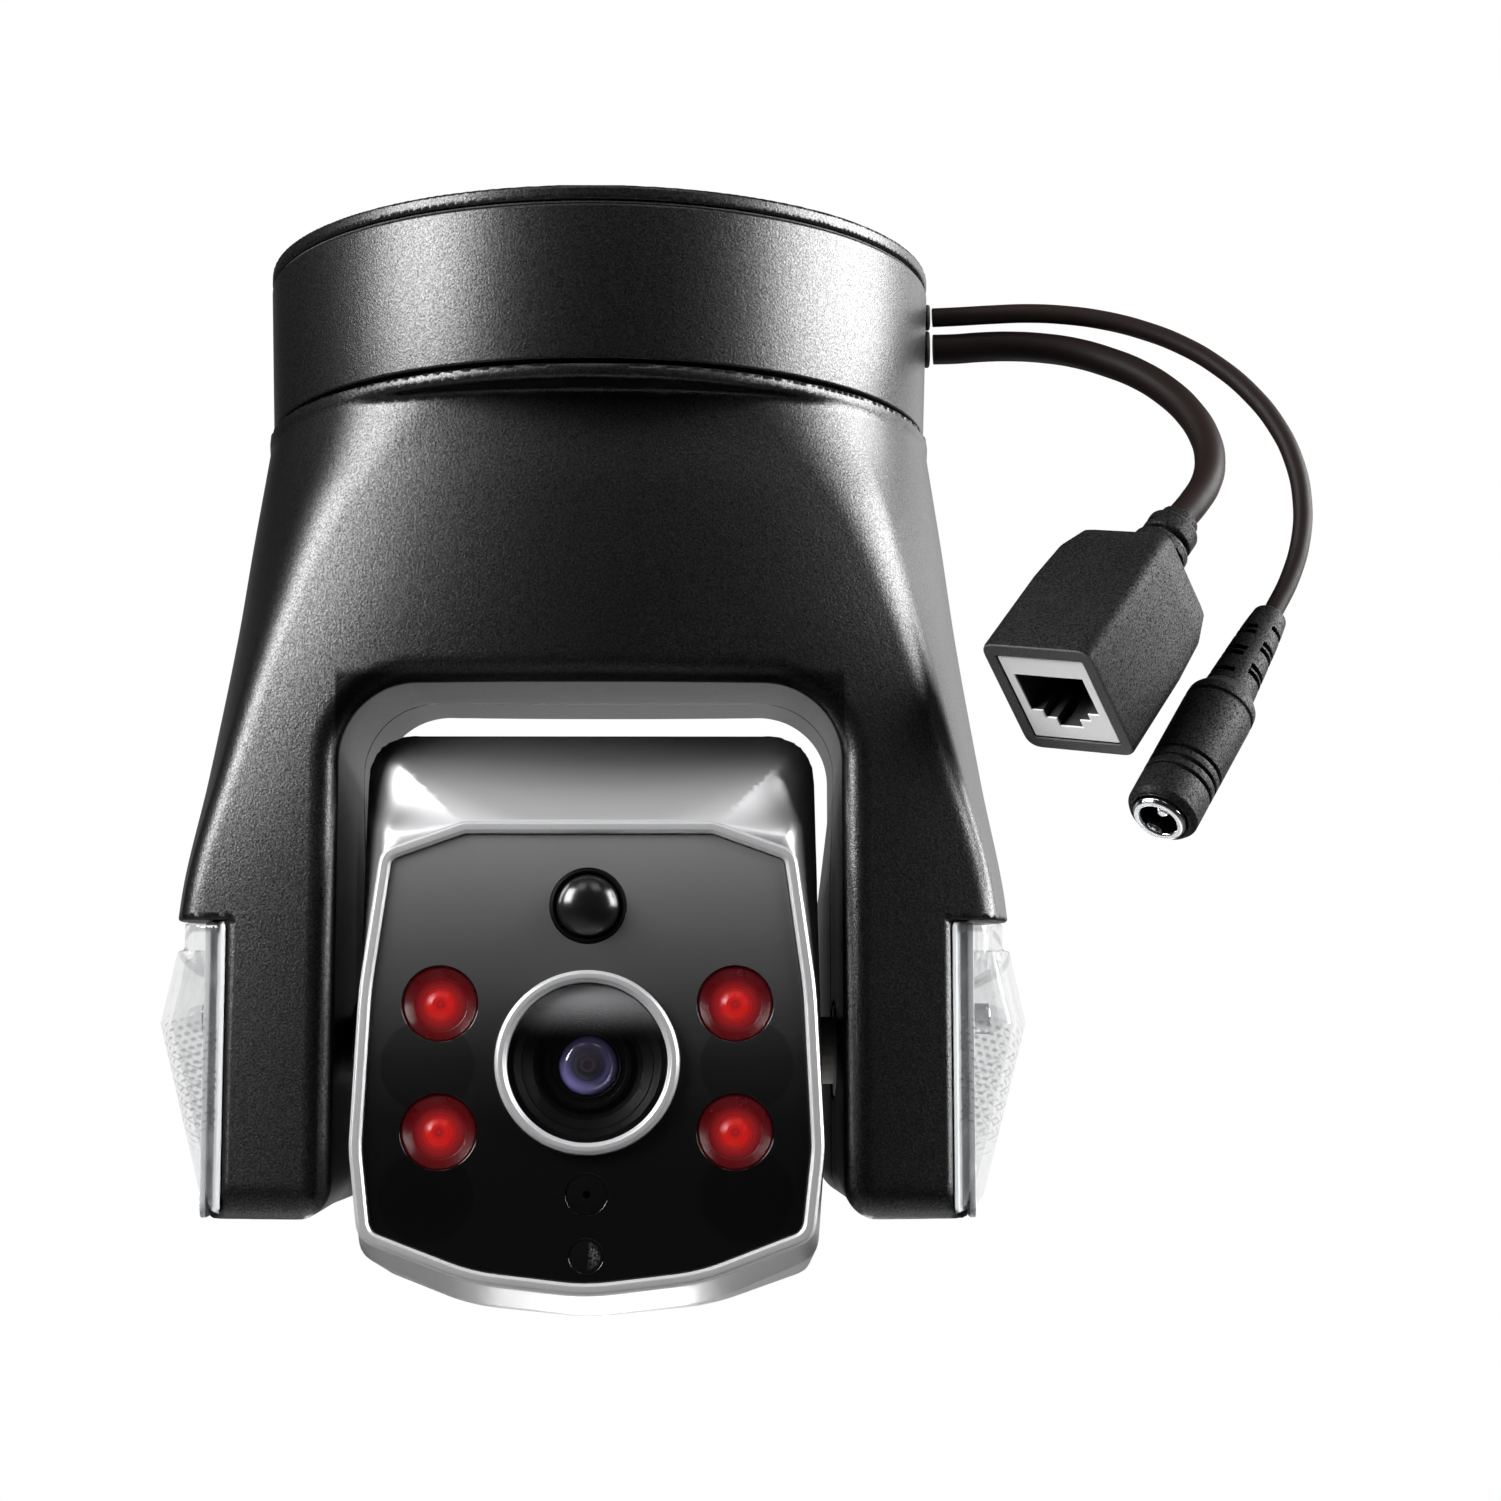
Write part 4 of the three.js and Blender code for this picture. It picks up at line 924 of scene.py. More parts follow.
def jack_housing():
    """Round body with three ring grooves, then a tapered relief slit from both sides."""
    r = 5.3
    profile = [(4.15, -1, 0.15), (r - 0.6, -0.9, 0.3), (r, -1.8, 0.5)]
    for z in (-6.2, -8, -9.8):
        profile += [(r, z, 0.12), (r - 0.45, z - 0.15, 0.1), (r - 0.45, z - 0.55, 0.1), (r, z - 0.7, 0.12)]
    profile += [(r, -21.4, 0.2), (r - 0.25, -21.7, 0.1), (r - 0.25, -22, 0.1), (r, -22.3, 0.2),
                (r - 0.1, -23.6, 1.2), (3.7, -25.9, 0.6), (0, -25.9), (0, -16), (4.15, -16)]
    body = turn(rounded(profile, 3)[::-1], segments=72)

    def relief(x, y, z):
        rise = -z
        radial = np.hypot(x, y)
        taper = np.interp(rise, [24, 26, 37, 39.5, 42.3], [3.9, 3.85, 3.1, 2.85, 2.5])
        solid = fillet_common(radial - taper, np.maximum(24 - rise, rise - 42.2), 0.6)
        for i, start in enumerate((27.4, 29.8, 32.2, 34.6, 37.0)):
            side = 1 if i % 2 else -1
            for flip in (side, -side):
                shift = 1.2 if flip != side else 0
                slot = np.maximum(np.abs(rise - start - shift) - 0.36, 0.9 - flip * x)
                solid = np.maximum(solid, -np.maximum(slot, 2.2 - 0.04 * (rise - 27) - radial))
        return solid

    piece = make("power_jack_housing_fine", *body, CONNECTOR, 30)
    return piece, moulded("power_jack_relief", relief, (-4, -4, -42.3), (4, 4, -24), 0.22, CONNECTOR)


def build_leads():
    network = lead("network_cable_fine", NETWORK_ROUTE, NETWORK_CABLE_R)
    power = lead("power_cable_fine", POWER_ROUTE, POWER_CABLE_R)
    install(network, "base", "cable", "network_cable")
    install(power, "base", "cable", "power_cable")

    housing, boot = socket_housing()
    insert = socket_insert()
    install(housing, "base", "connector", "network_socket_housing", matrix=SOCKET)
    install(boot, "base", "connector", matrix=SOCKET)
    install(insert, "base", "socket_plate", "network_socket_insert", matrix=SOCKET)
    jack, jack_boot = jack_housing()
    install(jack, "base", "connector", "power_jack_housing", matrix=JACK)
    install(jack_boot, "base", "connector", matrix=JACK)
    sleeve = turned("power_jack_sleeve_fine", [
        (2.8, -11), (2.8, -0.25, 0.2), (3.0, 0, 0.15), (3.7, 0, 0.3), (4, -0.5, 0.3),
        (4, -1.3, 0.1), (3.85, -1.45), (3.85, -2, 0.1), (4, -2.2, 0.1),
        (4, -15.8), (1.6, -15.8), (1.6, -11),
    ], CHROME, 3, segments=72)
    install(sleeve, "base", "chrome", "power_jack_sleeve", matrix=JACK)
    pin = turned("power_jack_pin_fine", [
        (0, -15.5), (1.05, -15.5), (1.05, -2.1, 0.3), (0.6, -1.4, 0.3), (0, -1.4),
    ], CHROME, 4, segments=32)
    install(pin, "base", "chrome", "power_jack_pin", matrix=JACK)

    for name, radius, (y, z) in (("network_grommet", NETWORK_CABLE_R, NETWORK_EXIT),
                                 ("power_grommet", POWER_CABLE_R, POWER_EXIT)):
        collar = turned(f"{name}_fine", [
            (radius - 0.05, 45.5), (radius + 0.3, 45.5), (radius + 0.3, 49.9, 0.1),
            (radius + 0.55, 50.0, 0.2), (radius + 0.5, 50.55, 0.3), (radius - 0.05, 50.65, 0.1),
        ], BLACK_RUBBER, 3, "x", (0, y, z), 48)
        install(collar, "base", "black_rubber", name)


build_leads()

# ---------------------------------------------------------------- base


def mounting_plate_field(x, y, z):
    """Disc with a ribbed ceiling side, three screw holes with raised rims, and three lugs below."""
    radial = np.hypot(x, y)
    solid = fillet_common(radial - BASE_R, np.abs(z + PLATE_T / 2) - PLATE_T / 2, 0.5)
    angle = np.degrees(np.arctan2(y, x))
    rib = np.abs(np.mod(angle + 15, 30) - 15) * np.pi / 180 * radial - 0.9
    rings = np.minimum(np.abs(radial - 24) - 0.9, np.abs(radial - 46.4) - 1.4)
    screws = np.inf
    lugs = np.inf
    for degrees in (30, 150, 270):
        a = math.radians(degrees)
        screws = np.minimum(screws, np.hypot(x - 35 * math.cos(a), y - 35 * math.sin(a)))
        b = math.radians(degrees + 30)
        along = x * math.cos(b) + y * math.sin(b)
        aside = -x * math.sin(b) + y * math.cos(b)
        lug = box_field((np.abs(along - 44.5), 1.5), (np.abs(aside), 6))
        lugs = np.minimum(lugs, np.maximum(lug, np.maximum(-4.4 - z, z + PLATE_T - 0.3)))
    keep = np.minimum(np.minimum(rib, rings), np.minimum(screws - 5, radial - 9))
    pocket = np.maximum(np.maximum(-keep, radial - 45.6), -1.1 - z)
    solid = fillet_common(solid, -pocket, 0.25)
    solid = np.minimum(solid, lugs)
    countersink = screws - np.clip(2.3 + 1.2 * (z + 1.0), 2.3, 3.6)
    centre_hole = radial - 4.5
    return fillet_common(solid, -np.minimum(countersink, np.maximum(centre_hole, -1.6 - z)), 0.2)


def build_base():
    low, high = (-BASE_R, -BASE_R, -4.4), (BASE_R, BASE_R, 0)
    disc = moulded("mounting_plate_fine", mounting_plate_field, low, high, 0.62, CASING)
    install(disc, "base", "casing", "mounting_plate")
    gasket = turned("plate_gasket_fine", [
        (46.9, -2.6, 0.1), (49.5, -2.6, 0.12), (49.5, -2.3, 0.12), (46.9, -2.3, 0.1),
    ], BLACK_RUBBER, 3, segments=160)
    install(gasket, "base", "black_rubber", "plate_gasket")
    inner = BASE_R - 2.7
    drum = make("base_housing_fine", *turn(rounded([
        (BASE_R, DRUM_TOP_Z, 0.5), (inner, DRUM_TOP_Z, 0.3), (inner, DRUM_FLOOR_Z + 2.4, 1.5),
        (16.2, DRUM_FLOOR_Z + 2.4, 0.2), (16.2, DRUM_FLOOR_Z, 0.2), (BASE_FOOT_R, DRUM_FLOOR_Z, 0.45),
    ], 5), segments=192), CASING)
    install(drum, "base", "casing", "base_housing")

    def lock_screw(x, y, z):
        radial = np.hypot(x, z - LOCK_SCREW_Z)
        crown = fillet_common(radial - 2.4, np.maximum(50.0 - y, y - 51.4 + 0.08 * radial ** 2 * 0.6), 0.3)
        drive = np.maximum(cross_field(x, z - LOCK_SCREW_Z, 0.36, 1.5), 50.6 - y)
        shank = np.maximum(radial - 1.3, np.maximum(44 - y, y - 50.5))
        return np.minimum(np.maximum(crown, -drive), shank)

    low, high = (-2.4, 44, -8.4), (2.4, 51.4, -3.6)
    screw = moulded("plate_lock_screw_fine", lock_screw, low, high, 0.16, BLACK_STEEL)
    install(screw, "base", "steel", "plate_lock_screw")


build_base()

# ---------------------------------------------------------------- yoke


def smooth_table(heights, values):
    """A monotone cubic through the values, as a fine table."""
    heights, values = np.asarray(heights, float), np.asarray(values, float)
    run, rise = np.diff(heights), np.diff(values)
    slope = rise / run
    tangent = np.concatenate([[slope[0]], (slope[1:] + slope[:-1]) / 2, [slope[-1]]])
    fine = np.linspace(heights[0], heights[-1], 400)
    i = np.clip(np.searchsorted(heights, fine) - 1, 0, len(run) - 1)
    t = (fine - heights[i]) / run[i]
    result = (
        (2 * t ** 3 - 3 * t ** 2 + 1) * values[i]
        + (t ** 3 - 2 * t ** 2 + t) * run[i] * tangent[i]
        + (3 * t ** 2 - 2 * t ** 3) * values[i + 1]
        + (t ** 3 - t ** 2) * run[i] * tangent[i + 1]
    )
    return fine, result


YOKE_TABLES = [smooth_table(YOKE_SECTIONS[:, 0], YOKE_SECTIONS[:, k]) for k in (1, 2, 3, 4)]


def lamp_seat(x, y):
    """Distance outside the slanting seat for a lamp's flange, on each arm's outer front and rear edge."""
    return 0.93 * (np.abs(x) - 50.6) + 0.37 * (np.abs(y) - 38.4)


def yoke_outside(x, y, z):
    """The fork without its hollow: drum shape, arch, and arms cut back below the lamps' ledges."""
    half, flat, face, bulge = (np.interp(z, *table) for table in YOKE_TABLES)
    depth = face / np.sqrt(1 - (flat / half) ** 2)
    q = np.sqrt((x / half) ** 2 + (y / depth) ** 2)
    gradient = np.sqrt((x / half ** 2) ** 2 + (y / depth ** 2) ** 2)
    side = (q - 1) * q / np.maximum(gradient, 1e-5)
    crease = np.interp(z, [-143, -100, -60, -38], [2.0, 2.2, 2.6, 3.2])
    ahead = np.abs(y) - face - bulge * (1 - (x / flat) ** 2)
    front = ahead / np.sqrt(1 + (2 * bulge * x / flat ** 2) ** 2)
    body = smooth_max(side, front, crease)
    radial = np.hypot(x, y) - RIM_R
    rim = fillet_common(radial, RIM_FOOT_Z - z, 0.9)
    solid = -smooth_max(-body, -rim, 1.2)
    solid = fillet_common(solid, z - YOKE_TOP_Z, 0.4)
    lean = 1.7 * np.interp(z, [-92, -78], [1, 0]) * np.interp(y, [-5, 30], [0, 1])
    level = z - RISE * y
    across, above = np.abs(x) - ARCH_HALF_W + ARCH_R + lean, level - ARCH_TOP_Z + ARCH_R
    arch = np.hypot(np.maximum(across, 0), np.maximum(above, 0)) - ARCH_R
    arch = arch + np.minimum(np.maximum(across, above), 0)
    solid = fillet_common(solid, -arch, 3.8)
    side = smooth_max(np.abs(x) - ARM_OUTER_X, lamp_seat(x, y), 0.3)
    solid = fillet_common(solid, ARM_FOOT_Z - level, 5)
    return fillet_common(solid, np.minimum(side, LAMP_TOP_Z - level), 0.5)


def yoke_shell(x, y, z):
    outside = yoke_outside(x, y, z)
    shell = np.maximum(outside, -(outside + YOKE_WALL))
    radial = np.hypot(x, y)
    for sx, sz in YOKE_SCREWS:
        post = np.hypot(x - sx, z - sz)
        shell = np.minimum(shell, np.maximum(post - 4.4, outside))
        shell = np.maximum(shell, -np.maximum(post - 1.7, -12 - y))
        shell = fillet_common(shell, -np.maximum(post - 3.2, 35.5 - y), 0.3)
    shell = np.maximum(shell, -np.maximum(radial - 13.3, -40 - z))
    shell = np.maximum(shell, -(np.hypot(y, z - TILT_Z) - 7))
    return np.maximum(shell, -(np.hypot(y, z - LED_Z) - 2.6))


def yoke_front(x, y, z):
    return fillet_common(yoke_shell(x, y, z), y - SPLIT_Y + 0.1, 0.25)


def yoke_rear(x, y, z):
    return fillet_common(yoke_shell(x, y, z), SPLIT_Y + 0.1 - y, 0.25)


def cross_head(x, y, z):
    radial = np.hypot(x, z)
    crown = fillet_common(radial - 2.85, np.maximum(35.8 - y, y - 37.75 + 0.05 * radial ** 2), 0.35)
    return np.maximum(crown, -np.maximum(cross_field(x, z, 0.4, 1.8), 36.5 - y))


def build_yoke():
    step = 0.9
    for half, field, low, high in (
        ("front", yoke_front, (-62, -49.6, -146.5), (62, SPLIT_Y, YOKE_TOP_Z)),
        ("rear", yoke_rear, (-62, SPLIT_Y, -140.8), (62, 49.6, YOKE_TOP_Z)),
    ):
        shell = moulded(f"yoke_{half}_shell_fine", field, low, high, step, YOKE_CASING)
        install(shell, "yoke", "casing", f"yoke_{half}_shell")
    points, faces, normals = surface_of(cross_head, (-2.9, 35.8, -2.9), (2.9, 37.8, 2.9), 0.18)
    shank = turn([(0, 9), (1.3, 9), (1.3, -36.2), (0, -36.2)], "front", segments=24)
    for i, (x, z) in enumerate(YOKE_SCREWS):
        head = make(f"yoke_screw_{i + 1}_fine", points + (x, 0, z), faces, BLACK_STEEL, normals=normals)
        install(head, "yoke", "steel", f"yoke_screw_{i + 1}")
        stem = make(f"yoke_screw_{i + 1}_stem", shank[0] + (x, 0, z), shank[1], STEEL)
        install(stem, "yoke", "steel")
    for side, sign in (("left", -1), ("right", 1)):
        profile = rounded([
            (5.05, 35.2, 0.1), (6.8, 35.2, 0.25), (6.8, 38.3),
            (8, 38.3, 0.1), (8, 39.2, 0.1), (5.05, 39.2, 0.1),
        ], 3)
        points_x, faces_x = turn(profile[::-1], "x", segments=64)
        if sign < 0:
            points_x = points_x * (-1, -1, 1)
        bush = make(f"tilt_bush_{side}_fine", points_x + (0, 0, TILT_Z), faces_x, ACETAL)
        install(bush, "yoke", "acetal", f"tilt_bush_{side}")


build_yoke()

# ---------------------------------------------------------------- lamps

COVER_X = ARM_OUTER_X + 1.1
LAMP_FRONT = rounded([
    (50.7, ARM_FOOT_Z + 0.2, 1.6), (56.8, ARM_FOOT_Z + 1.2, 2.5), (63.5, -113.8, 1.2),
    (61.2, -103.2, 0.6), (60.2, -103.2), (60.2, LAMP_TOP_Z - 0.3), (50.7, LAMP_TOP_Z - 0.3),
], 5)


def lamp_block(x, y, z):
    """Solid outline of the lamp, narrower towards its slanting ends, rising like the ledge."""
    front = outline_distance(LAMP_FRONT, x / np.sqrt(1 - (y / 96) ** 2), z - RISE * y)
    return fillet_common(front, 0.9 * (np.abs(y) - 38) + 0.43 * (x - 51), 0.6)


def lamp_cover(x, y, z):
    """Clear cover: outer block with a flange over the arm's slanting seat, hollow from the arm side."""
    outside = np.maximum(lamp_block(x, y, z), np.minimum(COVER_X - x, 0.75 - lamp_seat(x, y)))
    hollow = np.maximum(lamp_block(x, y, z) + 1.5, COVER_X - 2 - x)
    hollow = np.maximum(hollow, z - RISE * y - LAMP_TOP_Z + 4.2)
    return np.maximum(outside, -hollow)


def lamp_lip(x, y, z):
    """White sheet under the flange, on the slanting seat."""
    seat = lamp_seat(x, y)
    sheet = np.maximum(0.1 - seat, seat - 0.6)
    return np.maximum(np.maximum(sheet, lamp_block(x, y, z) - 0.15), np.maximum(x - 53.1, 33 - np.abs(y)))


def build_lamps():
    step = 0.5
    low = ARM_FOOT_Z - 4.7
    cover = surface_of(lamp_cover, (50.5, -38.4, low), (63.5, 38.4, -94), step)
    lip = surface_of(lamp_lip, (50.5, -38.6, low), (53.2, 38.6, -94), 0.25)
    corners = (
        (-36.5, ARM_FOOT_Z + 0.2), (36.5, ARM_FOOT_Z + 0.2),
        (36.5, LAMP_TOP_Z - 0.3), (-36.5, LAMP_TOP_Z - 0.3),
    )
    backing = plate(
        [rounded([(y, z + RISE * y, 2) for y, z in corners], 5), circle(0, LED_Z, 2.6, 40)],
        (ARM_OUTER_X + 0.15, ARM_OUTER_X + 0.95), "x", 0.12,
    )
    barrel = turn(rounded([
        (0, 53.35), (2.3, 53.35), (2.3, 55.2, 0.05), (2.15, 55.3), (2.15, 55.5), (2.3, 55.6, 0.05),
        (2.3, 58.5, 0.25), (0, 58.5),
    ], 3)[::-1], "x", (0, 0, LED_Z), 48)
    nose = turn(rounded([
        (0, 58.55), (2.0, 58.55, 0.1), (2.0, 59.4, 0.6), (1.5, 60.6, 0.6), (0, 61.05),
    ], 5)[::-1], "x", (0, 0, LED_Z), 48)
    for side, sign in (("right", 1), ("left", -1)):
        mirror = (sign, 1, 1)
        for name, solid, finish, slot, *nodes in (
            (f"lamp_cover_{side}_fine", cover, CLEAR, "clear", f"lamp_cover_{side}"),
            (f"lamp_plate_{side}_fine", backing, WHITE_PLATE, "white_plate", f"lamp_plate_{side}"),
            (f"lamp_lip_{side}", lip, WHITE_PLATE, "white_plate"),
            (f"lamp_led_{side}_fine", barrel, CHROME, "chrome", f"lamp_led_{side}"),
            (f"lamp_led_{side}_nose", nose, CLEAR, "clear"),
        ):
            points, faces, *rest = solid
            normals = rest[0] * mirror if rest else None
            piece = make(name, points * mirror, [f[::sign] for f in faces], finish, normals=normals)
            install(piece, "yoke", slot, *nodes)


build_lamps()

# ---------------------------------------------------------------- head


def mirrored(half):
    return half + [(-x, z, r) for x, z, r in reversed(half) if x > 0]


RIM_HALF = [(0, -38.4, 30), (16, -36.5, 30), (31.3, -30.6, 4), (32.7, -18, 20), (31.6, 4, 60)]
BEZEL_FRONT = rounded(mirrored([*RIM_HALF, (28.9, 23.4, 3), (17.5, 27.5, 4)]), 6)
RIM_LOOP = inset(rounded(mirrored([*RIM_HALF, (28.4, 27.5, 1.5)]), 6), 0.15)
SHELL_FRONT = rounded(mirrored([
    (0, -40.4, 30), (17, -38.4, 30), (32, -32, 4), (33, -18, 20), (31.6, 41.8, 7),
]), 6)
SHELL_SIDE = rounded([
    (-48, -44.4), (-28, -43.4, 20), (-5, -37.9, 20), (16, -33, 12), (32, -24, 12), (40, -10, 12),
    (42, 6, 12), (38, 23, 12), (26, 35.2, 12), (10, 42, 12), (-10, 45.8, 10), (-48, 46.6),
], 5)
FRONT_Y = -42.4
FLARE = 10.5
CORNER_FACET = np.array((0.139, -0.909, 0.385, 51.89))  # a plane across each upper corner of the head


def head_outside(x, y, z):
    """The head without its hollow, narrowing towards the bezel, with a facet at each upper corner."""
    rise = z - TILT_Z
    rim = outline_distance(RIM_LOOP, x, rise)
    full = outline_distance(SHELL_FRONT, x, rise)
    t = np.clip((y - FRONT_Y) / FLARE, 0, 1)
    front = ((1 - t) * rim + t * full) / np.sqrt(1 + (t < 1) * ((full - rim) / FLARE) ** 2)
    facet = CORNER_FACET[0] * np.abs(x) + CORNER_FACET[1] * y + CORNER_FACET[2] * rise - CORNER_FACET[3]
    front = smooth_max(front, facet, 1.8)
    side = outline_distance(SHELL_SIDE, y, rise)
    solid = fillet_common(front, side, 3.5)
    return fillet_common(solid, FRONT_Y - y, 0.5)


def head_shell(x, y, z):
    outside = head_outside(x, y, z)
    rise = z - TILT_Z
    shell = np.maximum(outside, -(outside + 2.2))
    mouth = np.maximum(outline_distance(inset(BEZEL_FRONT, 2.6), x, rise), y + 36)
    shell = np.maximum(shell, -mouth)
    return fillet_common(shell, -(np.hypot(y, rise) - 5.2), 0.2)


def ring_of(loop, profile):
    """Loop of rounded section: profile points are (inset, depth)."""
    rings = [[(u, depth, v + TILT_Z) for u, v in inset(loop, inward)] for inward, depth in profile]
    return skin(rings, loop=True)


def build_head():
    step = 0.8
    low, high = (-33.2, FRONT_Y, TILT_Z - 40.6), (33.2, 42.2, TILT_Z + 43.6)
    shell = moulded("head_shell_fine", head_shell, low, high, step, HEAD_PAINT)
    install(shell, "head", "head_shell", "head_shell")
    dense = spread(BEZEL_FRONT, 1.5)
    bezel = ring_of(dense, rounded([
        (0, -42.7, 0.1), (0, -44.55, 0.4), (0.4, -45, 0.35), (1.35, -45, 0.35),
        (1.75, -44.6, 0.2), (1.8, -42.7, 0.1),
    ], 4))
    install(make("head_bezel_fine", *bezel, SATIN_SILVER, 40), "head", "satin_silver", "head_bezel")
    holes = [
        circle(0, LENS_Z - TILT_Z, LENS_RING_R + 0.1, 96),
        circle(0, MOTION_Z - TILT_Z, MOTION_COLLAR_R + 0.1, 64),
        circle(0, MICROPHONE_Z - TILT_Z, MICROPHONE_R + 0.04, 40),
        circle(0, LIGHT_SENSOR_Z - TILT_Z, LIGHT_SENSOR_R + 0.04, 40),
        *[circle(x, z - TILT_Z, IR_WINDOW_R + 0.12, 64) for x, z in IR_PLACES],
    ]
    sheet, sheet_faces = plate([inset(BEZEL_FRONT, 1.9), *holes], (-44.3, -42.9), "front", 0.06)
    panel = make("front_panel_fine", sheet + (0, 0, TILT_Z), sheet_faces, PANEL)
    install(panel, "head", "panel", "front_panel")

    def facing(name, profile, place, finish, slot, *nodes, segments=96):
        x, z = place
        install(turned(name, profile, finish, 4, "front", (x, 0, z), segments), "head", slot, *nodes)

    facing("lens_ring_fine", [
        (11.1, 42.9), (LENS_RING_R, 42.9), (LENS_RING_R, 45.1, 0.3), (12.3, 45.6, 0.3), (11.6, 45.6, 0.3),
        (11.3, 45.2, 0.15), (11.1, 45.0, 0.1),
    ], (0, LENS_Z), SATIN_SILVER, "satin_silver", "lens_ring", segments=128)
    facing("lens_cover_glass", [
        (0, 43.4), (LENS_WINDOW_R, 43.4), (LENS_WINDOW_R, 44.2, 0.1), (0, 44.2),
    ], (0, LENS_Z), COVER_GLASS, "clear", "lens_window")
    facing("lens_baffle_fine", [
        (LENS_WINDOW_R, 43.1), (10.2, 43.1, 0.2), (9.2, 42.4, 0.2), (9.0, 42.0), (7.6, 41.1, 0.2), (7.4, 40.7),
        (6.75, 40.2, 0.2), (6.75, 38.4), (7.6, 38.4), (LENS_WINDOW_R, 42.2),
    ], (0, LENS_Z), BAFFLE, "panel", "lens_baffle")
    facing("lens_barrel_fine", [
        (0, 24.2), (6.5, 24.2), (6.5, 40.5, 0.2), (6.1, 40.9, 0.2), (5.5, 40.9, 0.1), (5.3, 40.6),
        (4.8, 40.6), (4.6, 40.8, 0.1), (4.4, 40.7, 0.1), (4.4, 39.2), (0, 39.2),
    ], (0, LENS_Z), BAFFLE, "connector", "lens_barrel", segments=72)
    facing("lens_glass_fine", [
        (0, 39.4), (4.2, 39.4, 0.1), (4.15, 40.1, 0.3), (3.1, 40.9, 2), (1.5, 41.4, 2), (0, 41.5),
    ], (0, LENS_Z), LENS_GLASS, "lens_glass", "lens_glass", segments=72)
    facing("motion_sensor_collar_fine", [
        (4.6, 42.9), (MOTION_COLLAR_R, 42.9), (MOTION_COLLAR_R, 44.35, 0.1),
        (4.9, 44.5, 0.1), (4.6, 44.3, 0.1),
    ], (0, MOTION_Z), BAFFLE, "black_rubber", "motion_sensor_collar", segments=72)
    angles = np.radians(np.arange(0, 91, 6))
    facing("motion_sensor_dome_fine", [
        (0, 42.9), (MOTION_DOME_R, 42.9), (MOTION_DOME_R, 43.6),
        *[(MOTION_DOME_R * math.cos(a), 43.6 + 3.2 * math.sin(a)) for a in angles[1:-1]], (0, 46.8),
    ], (0, MOTION_Z), SMOKED, "smoked_dome", "motion_sensor_dome", segments=72)
    facing("microphone_port_fine", [
        (0, 42.9), (MICROPHONE_R, 42.9), (MICROPHONE_R, 44.2, 0.04),
        (0.5, 44.15), (0.45, 43.2), (0, 43.2),
    ], (0, MICROPHONE_Z), BAFFLE, "smoked_dome", "microphone_port", segments=48)
    facing("light_sensor_window_fine", [
        (0, 42.9), (LIGHT_SENSOR_R, 42.9), (LIGHT_SENSOR_R, 44.2, 0.04), (0, 44.22),
    ], (0, LIGHT_SENSOR_Z), SENSOR, "smoked_dome", "light_sensor_window", segments=48)
    window = turn(rounded([
        (0, 43.8), (IR_WINDOW_R, 43.8), (IR_WINDOW_R, 44.15, 0.03), (0, 44.17),
    ], 3)[::-1], "front", segments=64)
    glow = turn(rounded([
        (0, 41.0), (IR_WINDOW_R, 41.0), (IR_WINDOW_R, 43.6, 0.1), (4.9, 43.6, 0.1),
        (3.7, 42.3, 0.3), (3.3, 42.25, 0.1),
        (2.4, 42.1, 0.1), (2.2, 42.5, 0.3), (1.2, 43.1, 0.5), (0, 43.2),
    ], 3)[::-1], "front", segments=64)
    for i, (x, z) in enumerate(IR_PLACES):
        for name, solid, finish, slot in (
            ("ir_window", window, RED_WINDOW, "red_window"), ("ir_led", glow, EMITTER, "led_body"),
        ):
            piece = make(f"{name}_{i + 1}_fine", *solid, finish)
            piece.location = (x * MM, 0, z * MM)
            install(piece, "head", slot, f"{name}_{i + 1}")
    left = turn(rounded([
        (3, -41.6, 0.1), (6.6, -41.6, 0.2), (6.6, -39.5), (5, -39.5),
        (5, -30.2), (8, -30.2, 0.2), (8, -29), (3, -29),
    ], 3), "x", (0, 0, TILT_Z), 64)
    install(make("tilt_axle_left_fine", *left, STEEL), "head", "steel", "tilt_axle_left")


build_head()

# ---------------------------------------------------------------- pieces kept from the CAD

KEPT = {
    "pan_bush": ACETAL, "pan_motor": STEEL, "main_board": BOARD, "pan_pinion": BRASS, "pan_hub": ACETAL,
    "pan_gear": ACETAL, "tilt_motor": STEEL, "tilt_pinion": BRASS, "camera_board": BOARD, "led_board": BOARD,
    "tilt_gear": ACETAL,
}
for node, finish in KEPT.items():
    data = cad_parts[node].data
    data.materials.clear()
    data.materials.append(finish)

# ---------------------------------------------------------------- studio


